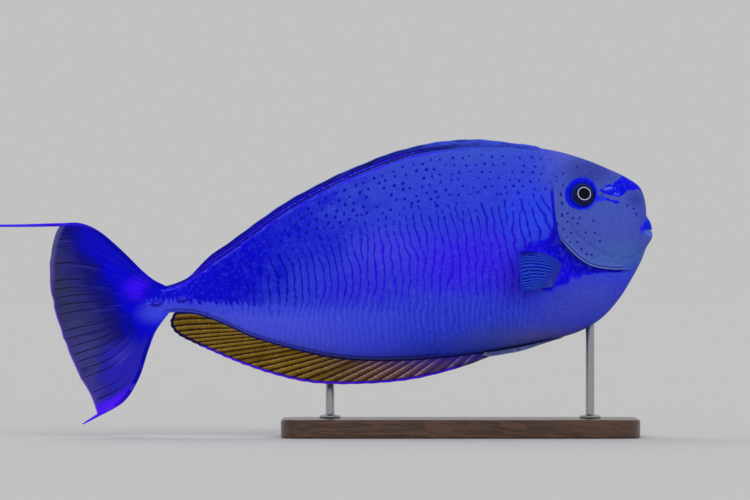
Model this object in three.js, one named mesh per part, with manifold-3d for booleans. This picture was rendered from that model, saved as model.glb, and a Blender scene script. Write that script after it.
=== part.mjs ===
// A bignose unicornfish (Naso vlamingii), life size, as a museum display model on a two-rod stand.
//
// The fish is drawn in its own frame: the origin is where the lips meet, +X runs ahead of the fish,
// +Y to its left and +Z up. Lengths there are in percent of the standard length, the distance from
// the lips to the end of the tail stalk, because that is how the proportions of a fish are given.
// The whole fish is then tipped nose up, as it swims, and set over the middle of its base, whose
// underside is the origin of the model. Millimetres, +Z up.
import * as THREE from 'three';
import { mergeVertices } from 'three/addons/utils/BufferGeometryUtils.js';
import Module from 'manifold-3d';

const wasm = await Module();
wasm.setup();

// Driving dimensions
const STANDARD_LENGTH = 360;
const PERCENT = STANDARD_LENGTH / 100;
const SWIM_PITCH = THREE.MathUtils.degToRad(8); // nose up
const SNOUT_X = 133.7; // ahead of the middle of the base
const SNOUT_Z = 144.5; // above the floor
const GAP = 0.3; // kept between pieces that touch

const BASE_LENGTH = 250;
const BASE_WIDTH = 112;
const BASE_HEIGHT = 13;
const BASE_CORNER = 18;
const BASE_BEVEL = 2;
const ROD_RADIUS = 3;
const ROD_FRONT_X = 91;
const ROD_REAR_X = -91;
const ROD_REAR_Y = 8; // beside the anal fin, on the side away from the viewer
const ROD_SEAT = 8; // how deep a rod stands in the base
const COLLAR_RADIUS = 7.5;
const COLLAR_HEIGHT = 2.4;

// Colours of the finished surfaces
const COLOUR = {
  head: 0x4a52b4,
  flank: 0x2a35c8,
  stalk: 0x1a12d0,
  dorsal: 0x0c0a86,
  anal: 0x5a4520,
  caudal: 0x2f2a86,
  pectoral: 0x1c3aa8,
  pelvic: 0x4a5a98,
  keel: 0x5a5af0,
  eye: 0x070a20,
  wood: 0x2c211b,
  steel: 0xb9bcc0,
};

const { lerp, clamp, smoothstep } = THREE.MathUtils;

// Closed geometry and solids

// Merges a closed geometry's shared corners and makes it a solid, turned outside out where needed.
function solid(geometry) {
  const bare = geometry.clone();
  bare.deleteAttribute('normal');
  bare.deleteAttribute('uv');
  const merged = mergeVertices(bare, 1e-4);
  const vertProperties = Float32Array.from(merged.attributes.position.array);
  const corners = Array.from(merged.index.array);
  const triangles = [];
  for (let i = 0; i < corners.length; i += 3) {
    const [a, b, c] = corners.slice(i, i + 3);
    if (a !== b && b !== c && a !== c) triangles.push(a, b, c);
  }
  const build = (triVerts) => new wasm.Manifold(new wasm.Mesh({ numProp: 3, vertProperties, triVerts }));
  const made = build(Uint32Array.from(triangles));
  if (made.volume() > 0) return made;
  for (let i = 0; i < triangles.length; i += 3) {
    [triangles[i + 1], triangles[i + 2]] = [triangles[i + 2], triangles[i + 1]];
  }
  return build(Uint32Array.from(triangles));
}

function geometryOf(made) {
  const mesh = made.getMesh();
  return new THREE.BufferGeometry()
    .setAttribute('position', new THREE.BufferAttribute(Float32Array.from(mesh.vertProperties), 3))
    .setIndex(new THREE.BufferAttribute(Uint32Array.from(mesh.triVerts), 1));
}

// The biggest of a solid's separate bodies: a cut can leave loose scraps.
function largest(made) {
  return made.decompose().reduce((best, body) => (body.volume() > best.volume() ? body : best));
}

// Moves every vertex of a geometry by a function of its old place.
function reshape(geometry, place) {
  const position = geometry.attributes.position;
  const vertex = new THREE.Vector3();
  for (let i = 0; i < position.count; i += 1) {
    vertex.fromBufferAttribute(position, i);
    const moved = place(vertex, i);
    position.setXYZ(i, moved.x, moved.y, moved.z);
  }
  return geometry;
}

// A smooth curve through points given as [along, up] in percent of the standard length.
function curveThrough(points) {
  const places = points.map(([along, up]) => new THREE.Vector3(along, 0, up).multiplyScalar(PERCENT));
  return new THREE.CatmullRomCurve3(places, false, 'centripetal');
}

// A thin fin: a grid of columns across the rays and rows along them, with the same triangles on
// both faces. place(u, r) is the middle of the fin and thickness(u, r) how thick it is there.
function vane({ columns, rows, place, thickness, normal }) {
  const positions = [];
  const step = 1e-3;
  for (const side of [1, -1]) {
    for (let row = 0; row <= rows; row += 1) {
      for (let column = 0; column <= columns; column += 1) {
        const u = column / columns;
        const r = row / rows;
        const middle = place(u, r);
        let across = normal;
        if (!across) {
          const alongU = place(Math.min(u + step, 1), r).sub(place(Math.max(u - step, 0), r));
          const alongR = place(u, Math.min(r + step, 1)).sub(place(u, Math.max(r - step, 0)));
          across = alongU.cross(alongR).normalize();
        }
        middle.addScaledVector(across, (side * thickness(u, r)) / 2);
        positions.push(middle.x, middle.y, middle.z);
      }
    }
  }
  const perFace = (columns + 1) * (rows + 1);
  const at = (face, column, row) => face * perFace + row * (columns + 1) + column;
  const index = [];
  const quad = (a, b, c, d) => index.push(a, b, c, a, c, d);
  for (let row = 0; row < rows; row += 1) {
    for (let column = 0; column < columns; column += 1) {
      const corners = [[column, row], [column + 1, row], [column + 1, row + 1], [column, row + 1]];
      const [a, b, c, d] = corners.map(([i, j]) => at(0, i, j));
      const [e, f, g, h] = corners.map(([i, j]) => at(1, i, j));
      quad(a, b, c, d);
      index.push(e, g, f, e, h, g);
    }
  }
  for (let column = 0; column < columns; column += 1) {
    quad(at(0, column + 1, 0), at(0, column, 0), at(1, column, 0), at(1, column + 1, 0));
    quad(at(0, column, rows), at(0, column + 1, rows), at(1, column + 1, rows), at(1, column, rows));
  }
  for (let row = 0; row < rows; row += 1) {
    quad(at(0, 0, row), at(0, 0, row + 1), at(1, 0, row + 1), at(1, 0, row));
    quad(at(0, columns, row + 1), at(0, columns, row), at(1, columns, row), at(1, columns, row + 1));
  }
  return new THREE.BufferGeometry()
    .setAttribute('position', new THREE.Float32BufferAttribute(positions, 3))
    .setIndex(index);
}

// A round tapering spine inside a curve in the fish's middle plane: its surface touches the curve,
// on the side that inset tells, 1 for a spine below an upper edge and -1 for one above a lower edge.
function spine(curve, radiusAt, lengths, sides, inset) {
  const tube = new THREE.CylinderGeometry(1, 1, 1, sides, lengths);
  return reshape(tube, (vertex) => {
    const t = vertex.y + 0.5;
    const middle = curve.getPoint(t);
    const along = curve.getTangent(t);
    const up = new THREE.Vector3(-along.z, 0, along.x);
    const radius = radiusAt(t);
    return middle.addScaledVector(up, (vertex.x + inset) * radius).add(new THREE.Vector3(0, vertex.z * radius, 0));
  });
}

// How far a place lies from one ray to the next: 1 on a ray and 0 midway between two.
const ridge = (u, rays) => Math.abs(((u * rays) % 1) * 2 - 1);

// Body. Each station is a loop round the body: where it crosses the back, where it crosses the
// belly, half its width, and how far its sides are swept back. The loops stand upright along the
// trunk, lean round the blunt face, close on the lips and turn in at the mouth.
const STATIONS = [
  { back: [-99.6, -0.2], belly: [-99.6, -0.2], half: 0, swept: 0 }, // end of the tail stalk
  { back: [-99.2, 1.7], belly: [-99.2, -2.1], half: 0.45, swept: 0 },
  { back: [-97.6, 2.7], belly: [-97.6, -3.1], half: 0.65, swept: 0 },
  { back: [-94.6, 2.5], belly: [-94.8, -2.8], half: 1.15, swept: 0 }, // narrowest
  { back: [-90, 3.6], belly: [-90, -3.6], half: 1.45, swept: 0 },
  { back: [-85, 6.2], belly: [-85, -6.1], half: 1.95, swept: 0 },
  { back: [-80, 8.7], belly: [-80, -9.3], half: 2.6, swept: 0 },
  { back: [-72, 13], belly: [-72, -13], half: 3.8, swept: 0 },
  { back: [-64, 16.3], belly: [-64, -15.9], half: 4.85, swept: 0 },
  { back: [-55, 19.1], belly: [-55, -17.7], half: 5.8, swept: 0 },
  { back: [-45, 21.2], belly: [-45, -18.6], half: 6.45, swept: 0 },
  { back: [-35, 21.5], belly: [-35, -18.8], half: 6.75, swept: 0 }, // deepest
  { back: [-25, 20.2], belly: [-25, -18.4], half: 6.75, swept: 0 },
  { back: [-17, 18.2], belly: [-17, -17.6], half: 6.55, swept: 0 }, // nape
  { back: [-11, 15.6], belly: [-12, -15.6], half: 6.1, swept: 0 },
  { back: [-6.5, 13], belly: [-8, -12.3], half: 5.4, swept: 0 },
  { back: [-3.2, 10.8], belly: [-4.9, -8.6], half: 4.6, swept: 0.2 }, // brow
  { back: [-1.1, 8.8], belly: [-2.6, -5.4], half: 3.85, swept: 0.6 }, // nose bump
  { back: [-0.25, 6.9], belly: [-1.3, -3.1], half: 3.1, swept: 1 },
  { back: [-0.1, 4.4], belly: [-0.5, -2.1], half: 2.45, swept: 1.3 },
  { back: [-0.25, 3], belly: [-0.05, -1.5], half: 2.05, swept: 1.5 }, // groove behind the lips
  { back: [0.15, 1.6], belly: [0.1, -0.95], half: 1.85, swept: 1.6 }, // lips
  { back: [0.12, 0.4], belly: [0.05, -0.35], half: 1.6, swept: 1.75 },
  { back: [-0.8, 0.12], belly: [-0.8, -0.1], half: 1.2, swept: 1.3 },
  { back: [-2, 0], belly: [-2, 0], half: 0, swept: 0 }, // inside the mouth
];
const BACK_ROUNDNESS = 1.12; // above 1 the back is sharper than an ellipse
const BELLY_ROUNDNESS = 0.9; // below 1 the belly is fuller than an ellipse
const LOOPS_PER_STATION = 2;
const LOOP_SIDES = 28;

const backLine = curveThrough(STATIONS.map((station) => station.back));
const bellyLine = curveThrough(STATIONS.map((station) => station.belly));
const breadthLine = curveThrough(STATIONS.map((station) => [station.swept, station.half]));

// The place on the body at t along its stations and at an angle round it, from the back at 0,
// down the left side, to the belly at a half turn. relief(x, z) is added to the half width.
function bodyPoint(t, angle, grow, relief) {
  const back = backLine.getPoint(t);
  const belly = bellyLine.getPoint(t);
  const breadth = breadthLine.getPoint(t);
  if (back.distanceTo(belly) < 0.01) return belly; // the loop at either end is a single place
  const height = (1 + Math.cos(angle)) / 2;
  const side = Math.sin(angle);
  const roundness = lerp(BELLY_ROUNDNESS, BACK_ROUNDNESS, height);
  const bulge = Math.sign(side) * Math.abs(side) ** roundness;
  const place = belly.clone().lerp(back, height);
  place.x -= Math.max(breadth.x, 0) * side * side;
  place.y = bulge * (breadth.z + grow + relief(place.x, place.z));
  const out = back.sub(belly).setLength(grow);
  return place.addScaledVector(out, 2 * height - 1);
}

function bodySolid(grow, relief) {
  const loops = (STATIONS.length - 1) * LOOPS_PER_STATION;
  const shape = new THREE.SphereGeometry(1, LOOP_SIDES, loops);
  return solid(reshape(shape, (vertex, i) => {
    const loop = Math.floor(i / (LOOP_SIDES + 1));
    const turn = (i % (LOOP_SIDES + 1)) / LOOP_SIDES;
    return bodyPoint(loop / loops, (turn % 1) * 2 * Math.PI, grow, relief);
  }));
}

// The height of a station line at a place along the fish, on the part of it where the body's loops
// stand upright.
function lineAt(line, x) {
  let low = 1 / (STATIONS.length - 1);
  let high = 16 / (STATIONS.length - 1);
  for (let i = 0; i < 40; i += 1) {
    const middle = (low + high) / 2;
    if (line.getPoint(middle).x < x) low = middle;
    else high = middle;
  }
  return line.getPoint(low).z;
}
const backAt = (x) => lineAt(backLine, x);
const bellyAt = (x) => lineAt(bellyLine, x);

// Gill opening: from the nape down behind the gill cover and forward under it to the throat.
const GILL_LINE = [
  [-17.2, 26], [-17.4, 15.3], [-18.1, 10], [-18.4, 5], [-18.2, 1.6], [-17, -0.7],
  [-15.2, -3.1], [-12.7, -5.2], [-8.8, -6.5], [-5.2, -7], [-2, -8.3], [3, -10],
];
const GILL_POINTS = 26;
const gillEdge = curveThrough(GILL_LINE).getPoints(GILL_POINTS);
const COVER_RISE = 0.9; // the gill cover's edge stands proud of the flank
const COVER_FADE = 14;
const SLIT_SINK = 0.7; // and the flank is a little sunk just behind it
const SLIT_FADE = 7;

// Distance from the gill opening, in the fish's middle plane.
function gillDistance(x, z) {
  let best = Infinity;
  for (const point of gillEdge) best = Math.min(best, Math.hypot(point.x - x, point.z - z));
  return best;
}
// The rise fades out above the top of the slit and below the throat, where head and trunk are one.
const slitShare = (x, z) => smoothstep(14 * PERCENT - z, 0, 4 * PERCENT) * smoothstep(-2.5 * PERCENT - x, 0, 3 * PERCENT);
const coverRelief = (x, z) => COVER_RISE * slitShare(x, z) * (1 - smoothstep(gillDistance(x, z), 0, COVER_FADE));
const slitRelief = (x, z) => -SLIT_SINK * slitShare(x, z) * (1 - smoothstep(gillDistance(x, z), 0, SLIT_FADE));
const noRelief = () => 0;

const cutter = bodySolid(GAP, noRelief); // the body grown by the gap, which trims what meets it

// A slab of the fish's middle plane, as wide as any body part, with the outline given in mm.
function slab(points) {
  const width = 30 * PERCENT;
  const outline = new THREE.Shape(points.map((point) => new THREE.Vector2(point.x, point.z)));
  const block = new THREE.ExtrudeGeometry(outline, { depth: width, bevelEnabled: false });
  block.rotateX(Math.PI / 2);
  block.translate(0, width / 2, 0);
  return solid(block);
}
const farAhead = 20 * PERCENT;
const farBelow = -40 * PERCENT;
const headRegion = slab([
  ...gillEdge,
  new THREE.Vector3(farAhead, 0, gillEdge.at(-1).z),
  new THREE.Vector3(farAhead, 0, gillEdge[0].z),
]);
const headRegionGrown = slab([
  ...gillEdge.map((point, i) => {
    const next = gillEdge[Math.min(i + 1, GILL_POINTS)];
    const last = gillEdge[Math.max(i - 1, 0)];
    const along = next.clone().sub(last).normalize();
    return point.clone().add(new THREE.Vector3(along.z, 0, -along.x).multiplyScalar(GAP));
  }),
  new THREE.Vector3(farAhead, 0, gillEdge.at(-1).z - GAP),
  new THREE.Vector3(farAhead, 0, gillEdge[0].z),
]);
const STALK_FRONT = -87.8 * PERCENT; // the tail stalk starts where the anal fin ends
const box = (fromX, toX) => slab([
  new THREE.Vector3(fromX, 0, farBelow), new THREE.Vector3(toX, 0, farBelow),
  new THREE.Vector3(toX, 0, -farBelow), new THREE.Vector3(fromX, 0, -farBelow),
]);

// Eyes: low domes in round sockets with a raised rim, high on the sides of the head.
const EYE = { along: -12.4 * PERCENT, up: 8.75 * PERCENT, radius: 9.4, depth: 5.2, sunk: 2.3 };
const RIM = { radius: 10.6, thickness: 1.5, sunk: 0.75 };
const NOSTRILS = [
  { along: -7.3 * PERCENT, up: 9.1 * PERCENT, radius: 1.3 },
  { along: -8.5 * PERCENT, up: 8.3 * PERCENT, radius: 0.9 },
];

// Half the body's width at a place in the middle plane, by searching its loops.
function halfWidthAt(x, z) {
  let best = { gap: Infinity, y: 0 };
  for (let loop = 20; loop <= 190; loop += 1) {
    const t = loop / 200;
    const back = backLine.getPoint(t);
    const belly = bellyLine.getPoint(t);
    const share = clamp((z - belly.z) / (back.z - belly.z), 0.001, 0.999);
    const place = bodyPoint(t, Math.acos(2 * share - 1), 0, noRelief);
    const gap = Math.abs(place.x - x);
    if (gap < best.gap) best = { gap, y: place.y };
  }
  return best.y;
}

// Turns a shape made about the origin, facing +Y, to stand on the head's side at a place.
function onSide(geometry, x, z, side, sunk) {
  const y = halfWidthAt(x, z);
  const reach = 2;
  const tiltUp = Math.atan2(halfWidthAt(x, z - reach) - halfWidthAt(x, z + reach), 2 * reach);
  const tiltAhead = Math.atan2(halfWidthAt(x - reach, z) - halfWidthAt(x + reach, z), 2 * reach);
  const placed = geometry.clone();
  placed.translate(0, -sunk, 0);
  placed.rotateX(tiltUp);
  placed.rotateZ(-tiltAhead);
  placed.translate(x, y, z);
  if (side < 0) placed.scale(1, -1, 1);
  return placed;
}

function ellipsoid(lengthwise, across, upright, around, rings) {
  return new THREE.SphereGeometry(1, around, rings).scale(lengthwise, across, upright);
}

const eyeShape = ellipsoid(EYE.radius, EYE.depth, EYE.radius, 20, 8);
const socketShape = ellipsoid(EYE.radius + GAP, EYE.depth + GAP, EYE.radius + GAP, 20, 8);
const rimShape = new THREE.TorusGeometry(RIM.radius, RIM.thickness, 5, 20).rotateX(Math.PI / 2);
const eyes = {};
let head = bodySolid(0, coverRelief).intersect(headRegion);
for (const [name, side] of [['right', -1], ['left', 1]]) {
  eyes[name] = solid(onSide(eyeShape, EYE.along, EYE.up, side, EYE.sunk));
  head = head.add(solid(onSide(rimShape, EYE.along, EYE.up, side, RIM.sunk)));
  head = head.subtract(solid(onSide(socketShape, EYE.along, EYE.up, side, EYE.sunk)));
  for (const nostril of NOSTRILS) {
    const pit = ellipsoid(nostril.radius, 2.5, nostril.radius, 8, 6);
    head = head.subtract(solid(onSide(pit, nostril.along, nostril.up, side, 0.4)));
  }
}
head = largest(head);

const trunkWhole = bodySolid(0, slitRelief).subtract(headRegionGrown);
const trunk = largest(trunkWhole.intersect(box(STALK_FRONT + GAP, farAhead)));
const stalk = largest(bodySolid(0, noRelief).intersect(box(-120 * PERCENT, STALK_FRONT)));

// Keels: two bony plates on each side of the tail stalk, each with a blunt fixed blade.
const KEELS = { front: [-91.9, -0.5], rear: [-97, -0.6] };
const PLATE = { length: 4.8, width: 1, height: 2.6 };
const BLADE = { length: 4.1, width: 2.7, height: 0.6 };
function keel([along, up], side) {
  const x = along * PERCENT;
  const z = up * PERCENT;
  const y = halfWidthAt(x, z) * side;
  const plate = ellipsoid(PLATE.length, PLATE.width, PLATE.height, 10, 6).translate(x, y, z);
  const blade = ellipsoid(BLADE.length, BLADE.width, BLADE.height, 10, 6).translate(x, y + side * 0.6, z);
  return largest(solid(plate).add(solid(blade)).subtract(cutter));
}

// Fins in the middle plane. Their membranes reach into the body and are trimmed to its surface.
const MEMBRANE = 0.8; // thickness between the rays
const RAY_RISE = 0.8; // and how much more it is on a ray
const ROOT = 5; // how far a fin is drawn into the body before it is trimmed
const acrossFish = new THREE.Vector3(0, 1, 0);

// Dorsal fin: 6 spines and 27 rays, folded down along the back.
const DORSAL = { front: -14 * PERCENT, rear: -85 * PERCENT, sweep: 6 * PERCENT, height: 1.25 * PERCENT, rays: 33 };
const DORSAL_RISES = [-18.2 * PERCENT, -35.2 * PERCENT]; // from a quarter of its height to all of it
function dorsalFin() {
  const heightAt = (x) => DORSAL.height
    * lerp(0.25, 1, smoothstep(-x, -DORSAL_RISES[0], -DORSAL_RISES[1]))
    * smoothstep(x - (DORSAL.rear - DORSAL.sweep), -2, 6 * PERCENT);
  const geometry = vane({
    columns: DORSAL.rays * 2,
    rows: 3,
    normal: acrossFish,
    place: (u, r) => {
      const x = lerp(DORSAL.front, DORSAL.rear, u) - DORSAL.sweep * r;
      return new THREE.Vector3(x, 0, backAt(x) - ROOT + (heightAt(x) + ROOT) * r);
    },
    thickness: (u, r) => lerp(3.2, MEMBRANE, r) + RAY_RISE * ridge(u, DORSAL.rays),
  });
  return largest(solid(geometry).subtract(cutter));
}

// Anal fin: 2 spines and 28 rays, half spread and swept back, its last rays along the tail stalk.
// Each ray starts in the body, ahead of where it leaves the belly.
const ANAL = { front: -32.9 * PERCENT, rear: -90.5 * PERCENT, rays: 30, crowding: 0.85 };
const ANAL_LEAD = 0.27; // of the ray's length along the belly
const ANAL_ROOT = 3.5;
const ANAL_MARGIN = [
  [-33.2, -19.6], [-40.5, -21.2], [-50, -22.2], [-60, -21.7], [-70, -20], [-80, -15.9],
  [-90.9, -9.4], [-94.4, -6.7], [-95.1, -4.7], [-94.1, -2.9],
];
function analFin() {
  const margin = curveThrough(ANAL_MARGIN);
  const geometry = vane({
    columns: ANAL.rays * 2,
    rows: 6,
    normal: acrossFish,
    place: (u, r) => {
      const tip = margin.getPointAt(u ** ANAL.crowding);
      const x = lerp(ANAL.front, ANAL.rear, u);
      const rootX = x + ANAL_LEAD * (x - tip.x);
      return new THREE.Vector3(rootX, 0, bellyAt(rootX) + ANAL_ROOT).lerp(tip, r);
    },
    thickness: (u, r) => lerp(1.8, MEMBRANE, r) + RAY_RISE * ridge(u, ANAL.rays),
  });
  return largest(solid(geometry).subtract(cutter));
}

// Tail fin: 16 branched rays between two strong outer rays. The upper outer ray runs on as a long
// streamer and the lower one ends in a short point.
const CAUDAL = { rays: 16, rootLow: [-94.8, -2.6], rootHigh: [-94.7, 2.35] };
const CAUDAL_UPPER = [
  [-94.7, 2.35], [-97.1, 4], [-98.8, 5.8], [-102.8, 11], [-106.6, 15.1], [-109.7, 16.9], [-113.3, 17.4],
];
const STREAMER = [[-120.5, 18.2], [-130, 19.35], [-139.8, 20.1]];
const CAUDAL_LOWER = [
  [-94.8, -2.6], [-98, -5.9], [-99.9, -9.2], [-102.6, -14.6], [-106, -18.6], [-111.5, -20.9],
];
const STREAMER_FRONT = -114.2 * PERCENT; // clear of the membrane
const LOWER_POINT = [[-114.7, -22]];
const TRAILING = [
  [-111.5, -20.9], [-112.2, -17.1], [-114.4, -11.3], [-116.2, -3.6], [-117.1, 3.8], [-116.6, 10],
  [-114.7, 15.6], [-113.3, 17.4],
];
function caudalFin() {
  const upper = curveThrough(CAUDAL_UPPER);
  const lower = curveThrough(CAUDAL_LOWER);
  const trailing = curveThrough(TRAILING);
  const root = curveThrough([CAUDAL.rootLow, CAUDAL.rootHigh]);
  const place = (u, r) => {
    const alongRays = lower.getPointAt(r).lerp(upper.getPointAt(r), u);
    const acrossRays = root.getPointAt(u).lerp(trailing.getPointAt(u), r);
    const corners = root.getPointAt(0).lerp(root.getPointAt(1), u)
      .lerp(trailing.getPointAt(0).lerp(trailing.getPointAt(1), u), r);
    return alongRays.add(acrossRays).sub(corners);
  };
  // A ray is one ridge near its root and forks into two towards the trailing edge.
  const rayHeight = (u, r) => {
    const stem = ridge(u, CAUDAL.rays);
    const branches = 1 - Math.abs(((u * CAUDAL.rays * 2) % 1) * 2 - 1);
    return lerp(stem, branches, smoothstep(r, 0.35, 0.8));
  };
  const web = solid(vane({
    columns: CAUDAL.rays * 4,
    rows: 7,
    normal: acrossFish,
    place,
    thickness: (u, r) => lerp(2.6, MEMBRANE, smoothstep(r, 0.05, 0.6)) + RAY_RISE * rayHeight(u, r),
  }));
  const lowerRay = curveThrough([...CAUDAL_LOWER, ...LOWER_POINT]);
  const outerRays = upperRay.intersect(box(STREAMER_FRONT, farAhead))
    .add(solid(spine(lowerRay, (t) => lerp(1.5, 0.35, t ** 8), 12, 6, -1)));
  return largest(web.add(outerRays).subtract(cutter));
}

// The upper outer ray runs on as the streamer, which is a piece of its own.
const upperRayLine = curveThrough([...CAUDAL_UPPER, ...STREAMER]);
const upperRay = solid(spine(upperRayLine, (t) => lerp(1.5, 0.35, t ** 1.8), 28, 6, 1));
const tailStreamer = () => largest(upperRay.intersect(box(-160 * PERCENT, STREAMER_FRONT - GAP)));

// Pectoral fins: fans of 17 rays from a slanting root behind the gill cover, held out and back.
// The highest ray rises as it leaves the root and levels out, and the lowest runs straight back.
const PECTORAL = {
  rays: 17,
  rootHigh: [-17.4, -4.6],
  rootLow: [-19.9, -8],
  longest: 33, // measured back along the fish
  shortest: 25,
  rise: 14.5,
  spread: 43, // degrees from the flank
  cupped: 3.5,
};
function pectoralFin(side) {
  const place = (u, r) => {
    const x = lerp(PECTORAL.rootHigh[0], PECTORAL.rootLow[0], u) * PERCENT;
    const z = lerp(PECTORAL.rootHigh[1], PECTORAL.rootLow[1], u) * PERCENT;
    const root = new THREE.Vector3(x, halfWidthAt(x, z) - 2.5, z);
    const reach = lerp(PECTORAL.longest, PECTORAL.shortest, u) * r;
    root.x -= reach;
    root.y += reach * Math.tan(THREE.MathUtils.degToRad(PECTORAL.spread));
    root.y += PECTORAL.cupped * Math.sin(Math.PI * r);
    root.z += PECTORAL.rise * (1 - u) * (1 - (1 - r) ** 2.6);
    return root.setY(root.y * side);
  };
  const geometry = vane({
    columns: PECTORAL.rays * 2,
    rows: 6,
    place,
    thickness: (u, r) => lerp(1.5, 0.55, r) + 0.6 * lerp(1, 0.5, r) * ridge(u, PECTORAL.rays),
  });
  return largest(solid(geometry).subtract(cutter));
}

// Pelvic fins: one spine and three rays each, folded back along the belly.
const PELVIC = { front: -20.6 * PERCENT, rear: -35.4 * PERCENT, rays: 4, depth: 1.1 * PERCENT, apart: 4.2 };
function pelvicFin(side) {
  const place = (u, r) => {
    const x = lerp(PELVIC.front, PELVIC.rear, r) + 3 * (1 - u);
    const width = PELVIC.depth * smoothstep(r, -0.1, 0.5) * lerp(1, 0.75, r);
    const top = bellyAt(x) - 0.5 - GAP + 3 * (1 - smoothstep(r, 0, 0.3));
    return new THREE.Vector3(x, side * lerp(PELVIC.apart, 2.2, u), top - (width + 0.5) * u);
  };
  const geometry = vane({
    columns: PELVIC.rays * 2,
    rows: 7,
    place,
    thickness: (u, r) => lerp(1.6, 0.6, r) + 0.5 * ridge(u, PELVIC.rays),
  });
  return largest(solid(geometry).subtract(cutter));
}

// The fish's own frame in the model's frame.
const fishPlace = new THREE.Matrix4().makeRotationY(-SWIM_PITCH).setPosition(SNOUT_X, 0, SNOUT_Z);
const cutterInPlace = cutter.transform(fishPlace.elements);

// Stand: a wooden base with a bevelled edge, and two steel rods with collars that stand in it and
// end against the fish's breast and flank.
function standBase() {
  const [halfLength, halfWidth] = [BASE_LENGTH / 2 - BASE_BEVEL, BASE_WIDTH / 2 - BASE_BEVEL];
  const corner = BASE_CORNER - BASE_BEVEL;
  const outline = new THREE.Shape();
  outline.absarc(halfLength - corner, halfWidth - corner, corner, 0, Math.PI / 2);
  outline.absarc(corner - halfLength, halfWidth - corner, corner, Math.PI / 2, Math.PI);
  outline.absarc(corner - halfLength, corner - halfWidth, corner, Math.PI, 1.5 * Math.PI);
  outline.absarc(halfLength - corner, corner - halfWidth, corner, 1.5 * Math.PI, 2 * Math.PI);
  const block = new THREE.ExtrudeGeometry(outline, {
    depth: BASE_HEIGHT - 2 * BASE_BEVEL, bevelThickness: BASE_BEVEL, bevelSize: BASE_BEVEL,
    bevelSegments: 2, curveSegments: 5,
  });
  block.translate(0, 0, BASE_BEVEL);
  let base = solid(block);
  for (const [x, y] of [[ROD_FRONT_X, 0], [ROD_REAR_X, ROD_REAR_Y]]) {
    const hole = new THREE.CylinderGeometry(ROD_RADIUS + GAP, ROD_RADIUS + GAP, 2 * ROD_SEAT, 16);
    base = base.subtract(solid(hole.rotateX(Math.PI / 2).translate(x, y, BASE_HEIGHT)));
  }
  return base;
}

function standRod(x, y) {
  const foot = BASE_HEIGHT - ROD_SEAT + GAP;
  const top = SNOUT_Z;
  const profile = [
    [0, foot], [ROD_RADIUS, foot], [ROD_RADIUS, BASE_HEIGHT + GAP], [COLLAR_RADIUS, BASE_HEIGHT + GAP],
    [COLLAR_RADIUS, BASE_HEIGHT + COLLAR_HEIGHT * 0.6], [COLLAR_RADIUS * 0.6, BASE_HEIGHT + COLLAR_HEIGHT],
    [ROD_RADIUS, BASE_HEIGHT + COLLAR_HEIGHT * 1.5], [ROD_RADIUS, top], [0, top],
  ].map(([radius, height]) => new THREE.Vector2(radius, height));
  const rod = solid(new THREE.LatheGeometry(profile, 16).rotateX(Math.PI / 2).translate(x, y, 0));
  const pieces = rod.subtract(cutterInPlace).decompose();
  return pieces.reduce((lowest, piece) => (piece.boundingBox().min[2] < lowest.boundingBox().min[2] ? piece : lowest));
}

// The scene graph
function named(name, made, colour, roughness = 0.5, metalness = 0) {
  const material = new THREE.MeshStandardMaterial({ color: colour, roughness, metalness });
  const mesh = new THREE.Mesh(geometryOf(made), material);
  mesh.name = name;
  return mesh;
}

const fish = new THREE.Group();
fish.rotation.y = -SWIM_PITCH;
fish.position.set(SNOUT_X, 0, SNOUT_Z);
fish.add(
  named('head', head, COLOUR.head),
  named('trunk', trunk, COLOUR.flank),
  named('tail_stalk', stalk, COLOUR.stalk),
  named('dorsal_fin', dorsalFin(), COLOUR.dorsal),
  named('anal_fin', analFin(), COLOUR.anal),
  named('caudal_fin', caudalFin(), COLOUR.caudal),
  named('tail_streamer', tailStreamer(), COLOUR.caudal),
);
for (const [name, side] of [['right', -1], ['left', 1]]) {
  fish.add(
    named(`eye_${name}`, eyes[name], COLOUR.eye, 0.05),
    named(`pectoral_fin_${name}`, pectoralFin(side), COLOUR.pectoral),
    named(`pelvic_fin_${name}`, pelvicFin(side), COLOUR.pelvic),
  );
  for (const [place, spot] of Object.entries(KEELS)) {
    fish.add(named(`keel_${name}_${place}`, keel(spot, side), COLOUR.keel));
  }
}

const model = new THREE.Group();
model.add(
  fish,
  named('stand_base', standBase(), COLOUR.wood, 0.45),
  named('stand_rod_front', standRod(ROD_FRONT_X, 0), COLOUR.steel, 0.3, 1),
  named('stand_rod_rear', standRod(ROD_REAR_X, ROD_REAR_Y), COLOUR.steel, 0.3, 1),
);

export default model;
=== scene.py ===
# A life-size museum model of a bignose unicornfish, a deep-bodied blue reef fish, as it swims past
# with its back fin folded. It is a painted cast on a lacquered wooden base with two steel rods.
import math

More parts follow.
